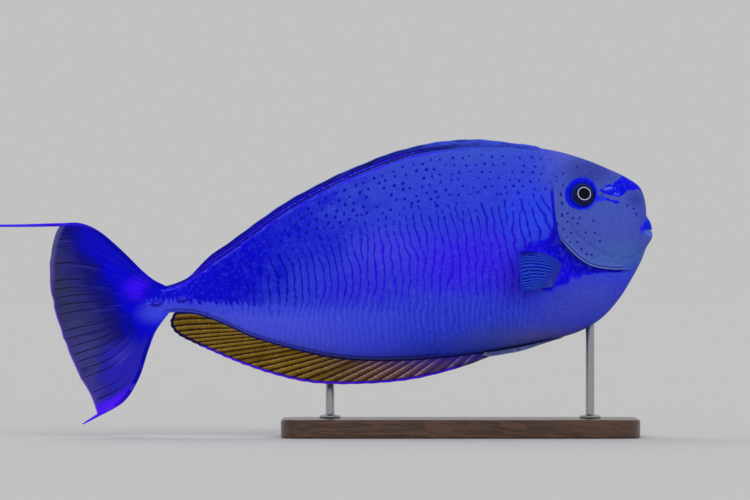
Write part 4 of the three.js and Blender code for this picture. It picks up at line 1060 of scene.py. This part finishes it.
def anal_place(u, r):
    tip = anal_margin(u ** ANAL_CROWDING)
    x = ANAL_FRONT + (ANAL_REAR - ANAL_FRONT) * u
    root_x = x + ANAL_LEAD * (x - tip[:, 0])
    root_z = line_height(belly_line, root_x) + ANAL_ROOT
    reach = r * (1 - ANAL_NOTCH * r ** 8 * (1 - anal_ridge(u)))
    sway = ANAL_SWAY * np.sin(9 * u + 1) * r ** 2
    arch = ANAL_ARCH * reach * (1 - reach) * u ** 14
    return np.column_stack([
        root_x + (tip[:, 0] - root_x) * reach, sway, root_z + (tip[:, 1] - root_z) * reach + arch,
    ])


def anal_thickness(u, r):
    edge = 1 - 0.5 * ease(r, 0.96, 1)
    web = ANAL_THICK - ANAL_THINNED * r
    return (web + ANAL_RAY_RISE * anal_ridge(u) ** 1.5 * (1 - 0.35 * r)) * edge


anal, middle = vane("anal_fin_spread", ANAL_RAYS * 10, 48, anal_place, anal_thickness)
keep_on_skin(anal.data, "below_belly", line_height(belly_line, middle[:, 0]) - middle[:, 2])

anal_paint, tree = new_paint("satin_acrylic_on_anal_fin")
uv = add_node(tree, "UVMap", uv_map="rays")
u, r, _ = add_node(tree, "SeparateXYZ", {0: uv}).node.outputs
fish = add_node(tree, "Attribute", output="Vector", attribute_name="fish")
x, _, z = add_node(tree, "SeparateXYZ", {0: fish}).node.outputs
to_edge = add_node(tree, "Attribute", output="Fac", attribute_name="to_edge")
below_belly = add_node(tree, "Attribute", output="Fac", attribute_name="below_belly")
cloud = add_node(tree, "TexNoise", {"Vector": fish, "Scale": 0.09, "Detail": 3.0})
fine = add_node(tree, "TexNoise", {"Vector": fish, "Scale": 0.7, "Detail": 2.0})
uneven = add_node(tree, "MapRange", {"Value": fine, 1: NOISE_LOW, 2: NOISE_HIGH, 3: -0.5, 4: 0.5},
                  clamp=False)
raised = add_node(tree, "Math", {0: u, 1: ANAL_POWER}, operation="POWER")
ray_count = add_node(tree, "Math", {0: raised, 1: ANAL_RAYS * ANAL_CLOSER}, operation="MULTIPLY")
ray_count = add_node(tree, "Math", {0: u, 1: ANAL_RAYS * ANAL_EVEN, 2: ray_count},
                     operation="MULTIPLY_ADD")
ray_turn = add_node(tree, "Math", {0: ray_count, 1: TURN, 2: uneven}, operation="MULTIPLY_ADD")
on_ray = add_node(tree, "Math", {0: ray_turn}, operation="COSINE")
beside = add_node(tree, "Math", {0: ray_turn, 1: 1.9}, operation="ADD")
beside = add_node(tree, "Math", {0: beside}, operation="COSINE")
ray_number = add_node(tree, "Math", {0: ray_count}, operation="ROUND")
ray_chance = add_node(tree, "TexWhiteNoise", {"W": ray_number}, noise_dimensions="1D")
ray_colour = spray(tree, linear("#2c1808"), (
    ("#3c2430", (x, -250.0, -180.0)),
    ("#30246a", (x, -200.0, -150.0, 0.9)),
))
streak_colour = spray(tree, linear("#9a7c3c"), (
    ("#a0808a", (x, -260.0, -190.0)),
    ("#8e78a8", (x, -190.0, -140.0)),
))
edge_waves = add_node(tree, "Math", {0: fine, 1: 1.0, 2: to_edge}, operation="MULTIPLY_ADD")
colour = spray(tree, linear("#6a5412"), (
    ("#604624", (x, -270.0, -210.0)),
    ("#543c54", (x, -215.0, -160.0)),
    ("#403458", (x, -165.0, -130.0)),
    ("#86682c", (cloud, 0.5, 0.7, 0.6), (x, -170.0, -230.0)),
    ("#4c3208", (cloud, 0.5, 0.3, 0.6), (x, -170.0, -230.0)),
    (streak_colour, (beside, 0.45, 0.98, 0.85), (ray_chance, 0.05, 0.35)),
    (ray_colour, (on_ray, -0.1, 0.6, 0.95)),
    ("#2c1c9c", (below_belly, 8.0, 0.0, 0.6), (x, -230.0, -150.0)),
    ("#160840", (edge_waves, 3.0, 2.3, 0.85), (x, -134.0, -146.0)),
    ("#4410d8", (edge_waves, 2.2, 1.7), (x, -140.0, -154.0)),
    ("#a06ad0", (edge_waves, 0.95, 0.6), (x, -215.0, -255.0), (x, -322.0, -312.0)),
    ("#140838", (edge_waves, 2.6, 1.8), (x, -318.0, -326.0)),
    # painted shade along the fin's root, where it meets the belly
    ("#0a0a50", (below_belly, 1.2, 0.6)),
))
lacquer(tree, colour, roughness=0.44, relief=fine, strength=0.15, depth=0.3)
anal.data.materials.append(anal_paint)
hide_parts("anal_fin")
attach(anal, "root")


# Pectoral fins
# Thin resin fans on a fleshy root just behind the gill cover, held out and back in mid stroke.
# Of the soft rays the fourteen that show are modelled, slightly wavy and dark between light folds.
PECTORAL_RAYS, PECTORAL_LONGEST, PECTORAL_SHORTEST = 14, 33.0, 25.0  # mm, along the fish
PECTORAL_RISE, PECTORAL_CUPPED = 14.5, 3.5
PECTORAL_SUNK, PECTORAL_NOTCH, PECTORAL_WAVE = 2.5, 0.6, 0.25
PECTORAL_THICK, PECTORAL_THINNED, PECTORAL_RAY_RISE = 1.5, 0.95, 0.6
PECTORAL_CROWDED = 0.25  # of the rays lie closer together towards the top and the bottom
PECTORAL_SPREAD = math.radians(43)
fin_root_share = np.linspace(0, 1, 9)
fin_root_x, fin_root_z = np.linspace(PECTORAL_ROOT_HIGH, PECTORAL_ROOT_LOW, 9).T * PERCENT
fin_root_y = np.array([half_width_at(*spot) for spot in zip(fin_root_x, fin_root_z)])


def pectoral_ridge(u):
    from_middle = 2 * u - 1
    spread = (1 - PECTORAL_CROWDED) * from_middle + PECTORAL_CROWDED * from_middle ** 3
    return ridge((1 + spread) / 2, PECTORAL_RAYS)


def pectoral_place(side):
    def place(u, r):
        reach = (PECTORAL_LONGEST + (PECTORAL_SHORTEST - PECTORAL_LONGEST) * u) * r
        reach = reach - PECTORAL_NOTCH * (1 - pectoral_ridge(u)) * r ** 12
        x, y, z = (np.interp(u, fin_root_share, root) for root in (fin_root_x, fin_root_y, fin_root_z))
        y = y - PECTORAL_SUNK + reach * math.tan(PECTORAL_SPREAD) + PECTORAL_CUPPED * np.sin(np.pi * r)
        z = z + PECTORAL_RISE * (1 - u) * (1 - (1 - r) ** 2.6) + PECTORAL_WAVE * np.sin(9 * r + 4 * u) * r
        return np.column_stack([x - reach, y * side, z])
    return place


def pectoral_thickness(u, r):
    web = PECTORAL_THICK - PECTORAL_THINNED * r
    return web + PECTORAL_RAY_RISE * (1 - 0.5 * r) * pectoral_ridge(u)


pectoral_paint, tree = new_paint("satin_acrylic_on_pectoral_fin")
uv = add_node(tree, "UVMap", uv_map="rays")
u, r, _ = add_node(tree, "SeparateXYZ", {0: uv}).node.outputs
fish = add_node(tree, "Attribute", output="Vector", attribute_name="fish")
wash = add_node(tree, "TexNoise", {"Vector": fish, "Scale": 0.3, "Detail": 2.0})
wobble = add_node(tree, "MapRange", {"Value": wash, 1: NOISE_LOW, 2: NOISE_HIGH, 3: -0.9, 4: 0.9},
                  clamp=False)
from_middle = add_node(tree, "Math", {0: u, 1: 2.0, 2: -1.0}, operation="MULTIPLY_ADD")
cubed = add_node(tree, "Math", {0: from_middle, 1: 3.0}, operation="POWER")
from_root = add_node(tree, "Math", {0: from_middle, 1: 4.0}, operation="POWER")
from_root = add_node(tree, "Math", {0: from_root, 1: -0.1, 2: r}, operation="MULTIPLY_ADD")
past_base = add_node(tree, "Math", {0: u, 1: -0.3, 2: r}, operation="MULTIPLY_ADD")
ray_turn = add_node(tree, "Mix", {0: PECTORAL_CROWDED, 2: from_middle, 3: cubed}, data_type="FLOAT")
ray_turn = add_node(tree, "Math", {0: ray_turn, 1: 1.0}, operation="ADD")
ray_turn = add_node(tree, "Math", {0: ray_turn, 1: PECTORAL_RAYS * math.pi, 2: wobble},
                    operation="MULTIPLY_ADD")
on_ray = add_node(tree, "Math", {0: ray_turn}, operation="COSINE")
colour = spray(tree, linear("#122cb4"), (
    ("#2448d8", (on_ray, -0.1, -0.9)),
    ("#030a74", (on_ray, 0.1, 0.85, 0.95)),
    ("#2450b8", (wash, 0.5, 0.72, 0.35)),
    ("#163ca4", (u, 0.8, 0.97, 0.85), (r, 0.9, 0.5)),
    ("#2630a8", (past_base, 0.16, 0.04)),
    ("#3c50b4", (wash, 0.46, 0.6, 0.8), (u, 0.6, 0.92), (past_base, 0.1, 0.0)),
    ("#02028c", (u, 0.16, 0.03, 0.9), (r, 0.5, 0.75)),
    ("#0f08d2", (from_root, 0.08, 0.0)),
    ("#2030c8", (r, 0.92, 0.99, 0.8)),
))
lacquer(tree, colour, roughness=0.4, relief=wash, strength=0.15, depth=0.3)

for side_name, side in SIDES:
    pectoral, _ = vane(f"pectoral_fin_{side_name}_fan", PECTORAL_RAYS * 10, 36,
                       pectoral_place(side), pectoral_thickness)
    pectoral.data.materials.append(pectoral_paint)
    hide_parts(f"pectoral_fin_{side_name}")
    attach(pectoral, "root")


# Pelvic fins
# A narrow pair, cast in thin resin with one spine and three rays each, folded back flat and let
# into a shallow groove of the belly. They are the grey-blue of the breast, with painted shadow
# along the top, where they lie under the belly.
PELVIC_FRONT, PELVIC_REAR, PELVIC_RAYS = -20.6 * PERCENT, -35.8 * PERCENT, 4
PELVIC_DEPTH, PELVIC_APART, PELVIC_NEAR = 1.1 * PERCENT, 4.2, 2.2
PELVIC_SET_IN, PELVIC_SLANT = 0.7, 3  # mm, into the belly, and of the root
PELVIC_THICK, PELVIC_THINNED, PELVIC_RAY_RISE = 1.6, 1.0, 0.5


def pelvic_place(side):
    def place(u, r):
        x = PELVIC_FRONT + (PELVIC_REAR - PELVIC_FRONT) * r + PELVIC_SLANT * (1 - u)
        width = PELVIC_DEPTH * ease(r, -0.05, 0.6) * (1 - 0.45 * ease(r, 0.9, 1))
        top = line_height(belly_line, x) + PELVIC_SET_IN
        y = side * (PELVIC_APART + (PELVIC_NEAR - PELVIC_APART) * u)
        return np.column_stack([x, y, top - (width + 0.5) * u])
    return place


def pelvic_thickness(u, r):
    return PELVIC_THICK - PELVIC_THINNED * r + PELVIC_RAY_RISE * ridge(u, PELVIC_RAYS)


pelvic_paint, tree = new_paint("satin_acrylic_on_pelvic_fin")
uv = add_node(tree, "UVMap", uv_map="rays")
u, r, _ = add_node(tree, "SeparateXYZ", {0: uv}).node.outputs
ray_turn = add_node(tree, "Math", {0: u, 1: PELVIC_RAYS * TURN}, operation="MULTIPLY")
on_ray = add_node(tree, "Math", {0: ray_turn}, operation="COSINE")
fish = add_node(tree, "Attribute", output="Vector", attribute_name="fish")
wash = add_node(tree, "TexNoise", {"Vector": fish, "Scale": 0.2, "Detail": 3.0})
colour = spray(tree, linear("#4a528e"), (
    ("#646e98", (wash, 0.42, 0.62)),
    ("#2c3874", (on_ray, 0.4, 0.95, 0.5)),
    # painted shadow along the top of the fin, where it lies under the belly
    ("#0c1238", (u, 0.42, 0.28), (r, 0.0, 0.2)),
    ("#8a90b8", (u, 0.86, 0.96, 0.7)),
))
lacquer(tree, colour, roughness=0.44)

for side_name, side in SIDES:
    pelvic, _ = vane(f"pelvic_fin_{side_name}_folded", PELVIC_RAYS * 10, 60,
                     pelvic_place(side), pelvic_thickness)
    pelvic.data.materials.append(pelvic_paint)
    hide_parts(f"pelvic_fin_{side_name}")
    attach(pelvic, "root")


# Tail keels
# Two bony plates on each side of the tail stalk, each with a blunt fixed blade that points ahead,
# painted like the skin round them, with a painted highlight along the crest.
KEELS = {"front": (-91.9, -0.5), "rear": (-97.0, -0.6)}
PLATE = (4.8, 1.0, 2.6)  # mm, half length, half thickness and half height
BLADE = (4.1, 2.7, 0.6)
BLADE_OUT = 0.6  # mm, of the plate's middle

keel_paint, tree = new_paint("satin_acrylic_on_keel")
place = add_node(tree, "TexCoord", output="Object")
wash = add_node(tree, "TexNoise", {"Vector": place, "Scale": 500.0, "Detail": 3.0})
crest = add_node(tree, "Attribute", output="Fac", attribute_name="crest")
colour = spray(tree, linear("#0a04c0"), (
    ("#2416dc", (wash, 0.42, 0.66, 0.8)),
    # painted highlight: lighter towards the outermost part of the blade
    ("#5852e6", (crest, 0.72, 1.0, 0.8)),
))
shader = add_node(tree, "BsdfPrincipled", {
    "Base Color": colour, "Roughness": 0.38, "IOR": 1.46, "Specular IOR Level": 0.3,
})
add_node(tree, "OutputMaterial", {"Surface": shader})

for side_name, side in SIDES:
    for end_name, (keel_x, keel_z) in KEELS.items():
        bm = bmesh.new()
        for part, (half_length, half_thick, half_high) in enumerate((PLATE, BLADE)):
            made = bmesh.ops.create_uvsphere(bm, u_segments=40, v_segments=24, radius=1)["verts"]
            bmesh.ops.scale(bm, vec=(half_length, half_thick, half_high), verts=made)
            bmesh.ops.translate(bm, vec=(0, part * BLADE_OUT, 0), verts=made)
        if side < 0:
            bmesh.ops.reverse_faces(bm, faces=bm.faces)
        keel = smooth_shape(f"keel_{side_name}_{end_name}_plate", bm)
        plate = read_places(keel.data)
        keel_x, keel_z = keel_x * PERCENT, keel_z * PERCENT
        keel_y = half_width_at(keel_x, keel_z)
        write_places(keel.data, fish_to_model(
            plate[:, 0] + keel_x, (plate[:, 1] + keel_y) * side, plate[:, 2] + keel_z))
        keep_on_skin(keel.data, "crest", plate[:, 1] / (BLADE[1] + BLADE_OUT))
        keel.data.materials.append(keel_paint)
        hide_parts(f"keel_{side_name}_{end_name}")
        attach(keel, "root")


# Display stand
# A base of dark stained hardwood with softened corners and a moulded upper edge, under satin
# lacquer, and two turned steel rods with collars, which stand in drilled seats.
base_low, base_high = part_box("stand_base")
CORNER_RADIUS, EDGE_STEP, EDGE_BEAD, EDGE_ROUND = 0.018, 0.0022, 0.0012, 0.0016  # m

bm = bmesh.new()
bmesh.ops.create_cube(bm, size=1)
size = base_high - base_low
bmesh.ops.scale(bm, vec=size, verts=bm.verts)
bmesh.ops.translate(bm, vec=(base_low + base_high) / 2, verts=bm.verts)
uprights = [e for e in bm.edges if abs(e.verts[0].co.z - e.verts[1].co.z) > size.z / 2]
bmesh.ops.bevel(bm, geom=uprights, offset=CORNER_RADIUS, offset_type="OFFSET", segments=14,
                profile=0.5, affect="EDGES", material=-1)
top = max(bm.faces, key=lambda f: f.calc_center_median().z)
bmesh.ops.inset_region(bm, faces=[top], thickness=EDGE_STEP, depth=0, use_even_offset=True)
top = max((f for f in bm.faces if f.normal.z > 0.9), key=lambda f: f.calc_area())
bmesh.ops.inset_region(bm, faces=[top], thickness=EDGE_BEAD, depth=0, use_even_offset=True)
rims = [e for e in bm.edges if len(e.link_faces) == 2 and e.calc_face_angle() > 1.2
        and abs(e.verts[0].co.z - e.verts[1].co.z) < 1e-6]
bmesh.ops.bevel(bm, geom=rims, offset=EDGE_ROUND, offset_type="OFFSET", segments=4,
                profile=0.5, affect="EDGES", material=-1)
base = smooth_shape("stand_base_board", bm)
base.data.polygons.foreach_set("use_smooth", [len(p.vertices) < 5 for p in base.data.polygons])
edge_keep = base.modifiers.new("weighted", "WEIGHTED_NORMAL")
edge_keep.keep_sharp = True

wood, tree = new_paint("lacquered_dark_walnut")
place = add_node(tree, "TexCoord", output="Object")
plank = add_node(tree, "Mapping", {"Vector": place, "Scale": (9.0, 60.0, 60.0)})
drift = add_node(tree, "TexNoise", {"Vector": plank, "Scale": 1.0, "Detail": 4.0, "Distortion": 0.6})
grain_place = add_node(tree, "Mapping", {"Vector": place, "Scale": (60.0, 1400.0, 1400.0)})
pores = add_node(tree, "TexNoise", {"Vector": grain_place, "Scale": 1.0, "Detail": 3.0})
figure = add_node(tree, "Math", {0: drift, 1: 9.0}, operation="MULTIPLY")
figure = add_node(tree, "Math", {0: figure}, operation="FRACT")
colour = spray(tree, linear("#50321f"), (
    ("#2c1a10", (figure, 0.0, 1.0, 0.75)),
    ("#170c07", (pores, 0.52, 0.68, 0.8)),
))
bump = add_node(tree, "Bump", {"Height": pores, "Strength": 0.12, "Distance": 0.0002})
shader = add_node(tree, "BsdfPrincipled", {
    "Base Color": colour, "Roughness": 0.34, "Normal": bump, "IOR": 1.5,
    "Coat Weight": 0.35, "Coat Roughness": 0.18,
})
add_node(tree, "OutputMaterial", {"Surface": shader})
base.data.materials.append(wood)
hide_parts("stand_base")
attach(base, "root")

ROD_RADIUS, COLLAR_RADIUS, COLLAR_HEIGHT = 0.003, 0.0075, 0.0024
ROD_SEAT = 0.006  # deep in the base
COLLAR_LIFT, COLLAR_SOFT = 0.0002, 0.0004  # above the wood, and the width of its lower edge
TIP_SOFT = 0.0008
steel, tree = new_paint("brushed_stainless_rod")
place = add_node(tree, "TexCoord", output="Object")
brushed = add_node(tree, "Mapping", {"Vector": place, "Scale": (260.0, 260.0, 9000.0)})
brushed = add_node(tree, "TexNoise", {"Vector": brushed, "Scale": 1.0, "Detail": 2.0})
rough = add_node(tree, "MapRange", {"Value": brushed, 1: NOISE_LOW, 2: NOISE_HIGH, 3: 0.24, 4: 0.38})
bump = add_node(tree, "Bump", {"Height": brushed, "Strength": 0.1, "Distance": 0.0001})
shader = add_node(tree, "BsdfPrincipled", {
    "Base Color": linear("#b4b6b8"), "Metallic": 1.0, "Roughness": rough, "Normal": bump,
})
add_node(tree, "OutputMaterial", {"Surface": shader})

for end_name in ("front", "rear"):
    node = f"stand_rod_{end_name}"
    low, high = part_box(node)
    centre_x, centre_y = (low.x + high.x) / 2, (low.y + high.y) / 2
    wood_top = base_high.z
    foot, lifted = wood_top - ROD_SEAT, wood_top + COLLAR_LIFT
    profile = (
        (0, foot), (ROD_RADIUS, foot), (ROD_RADIUS, lifted),
        (COLLAR_RADIUS - COLLAR_SOFT, lifted), (COLLAR_RADIUS, lifted + COLLAR_SOFT),
        (COLLAR_RADIUS, wood_top + COLLAR_HEIGHT * 0.6),
        (COLLAR_RADIUS * 0.9, wood_top + COLLAR_HEIGHT * 0.85),
        (COLLAR_RADIUS * 0.6, wood_top + COLLAR_HEIGHT),
        (ROD_RADIUS * 1.15, wood_top + COLLAR_HEIGHT * 1.15),
        (ROD_RADIUS, wood_top + COLLAR_HEIGHT * 1.5), (ROD_RADIUS, high.z - TIP_SOFT),
        (ROD_RADIUS - TIP_SOFT, high.z), (0, high.z),
    )
    bm = bmesh.new()
    ring = [bm.verts.new((radius, 0, height)) for radius, height in profile]
    edges = [bm.edges.new(pair) for pair in zip(ring[:-1], ring[1:])]
    bmesh.ops.spin(bm, geom=ring + edges, cent=(0, 0, 0), axis=(0, 0, 1), angle=TURN,
                   steps=48, use_merge=True)
    bmesh.ops.remove_doubles(bm, verts=bm.verts, dist=1e-6)
    bmesh.ops.recalc_face_normals(bm, faces=bm.faces)
    bmesh.ops.translate(bm, vec=(centre_x, centre_y, 0), verts=bm.verts)
    rod = smooth_shape(f"{node}_turned", bm)
    rod.data.materials.append(steel)
    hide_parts(node)
    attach(rod, "root")


# Studio
# A plain pale floor under an even grey sky, with three broad soft lights: the key from ahead, above
# and this side, a weaker one from behind and a faint one overhead.
FLOOR_REACH = 14  # m, each way from the model
SKY_STRENGTH = 0.54
bm = bmesh.new()
bmesh.ops.create_grid(bm, x_segments=2, y_segments=2, size=FLOOR_REACH)
floor = smooth_shape("floor", bm)
floor_paint, tree = new_paint("pale_floor")
shader = add_node(tree, "BsdfPrincipled", {
    "Base Color": linear("#bbbbbb"), "Roughness": 0.8, "Specular IOR Level": 0.2,
})
add_node(tree, "OutputMaterial", {"Surface": shader})
floor.data.materials.append(floor_paint)

world = bpy.data.worlds.new("studio")
world.use_nodes = True
sky = world.node_tree.nodes["Background"].inputs
sky["Color"].default_value = linear("#ffffff")
sky["Strength"].default_value = SKY_STRENGTH
bpy.context.scene.world = world
bpy.context.scene.view_settings.view_transform = "Standard"

LIGHTS = (  # name, degrees above the floor and round from straight ahead of the fish, and strength
    ("key", 24, -72, 1.7),
    ("behind", 40, 120, 1.25),
    ("top", 88, 0, 0.2),
)
SOFTNESS = math.radians(55)
for name, up_angle, round_angle, strength in LIGHTS:
    lamp = bpy.data.lights.new(name, "SUN")
    lamp.energy = strength
    lamp.angle = SOFTNESS
    light = bpy.data.objects.new(name, lamp)
    light.rotation_euler = (0, math.radians(90 - up_angle), math.radians(round_angle))
    light.visible_glossy = False
    bpy.context.scene.collection.objects.link(light)

# Camera, level, square on to the fish's right side. The frame is 750 px wide and shows 525 mm at
# the fish's middle plane, from far enough away that near parts hardly look larger.
FRAME_WIDTH = 0.525
VIEW_CENTRE = (-0.0595, 0.1309)
LENS, SENSOR = 400.0, 36.0
camera_data = bpy.data.cameras.new("camera")
camera_data.lens = LENS
camera_data.sensor_width = SENSOR
camera_data.clip_end = 50
camera = bpy.data.objects.new("camera", camera_data)
camera.location = (VIEW_CENTRE[0], -FRAME_WIDTH * LENS / SENSOR, VIEW_CENTRE[1])
camera.rotation_euler = (math.pi / 2, 0, 0)
bpy.context.scene.collection.objects.link(camera)
bpy.context.scene.camera = camera
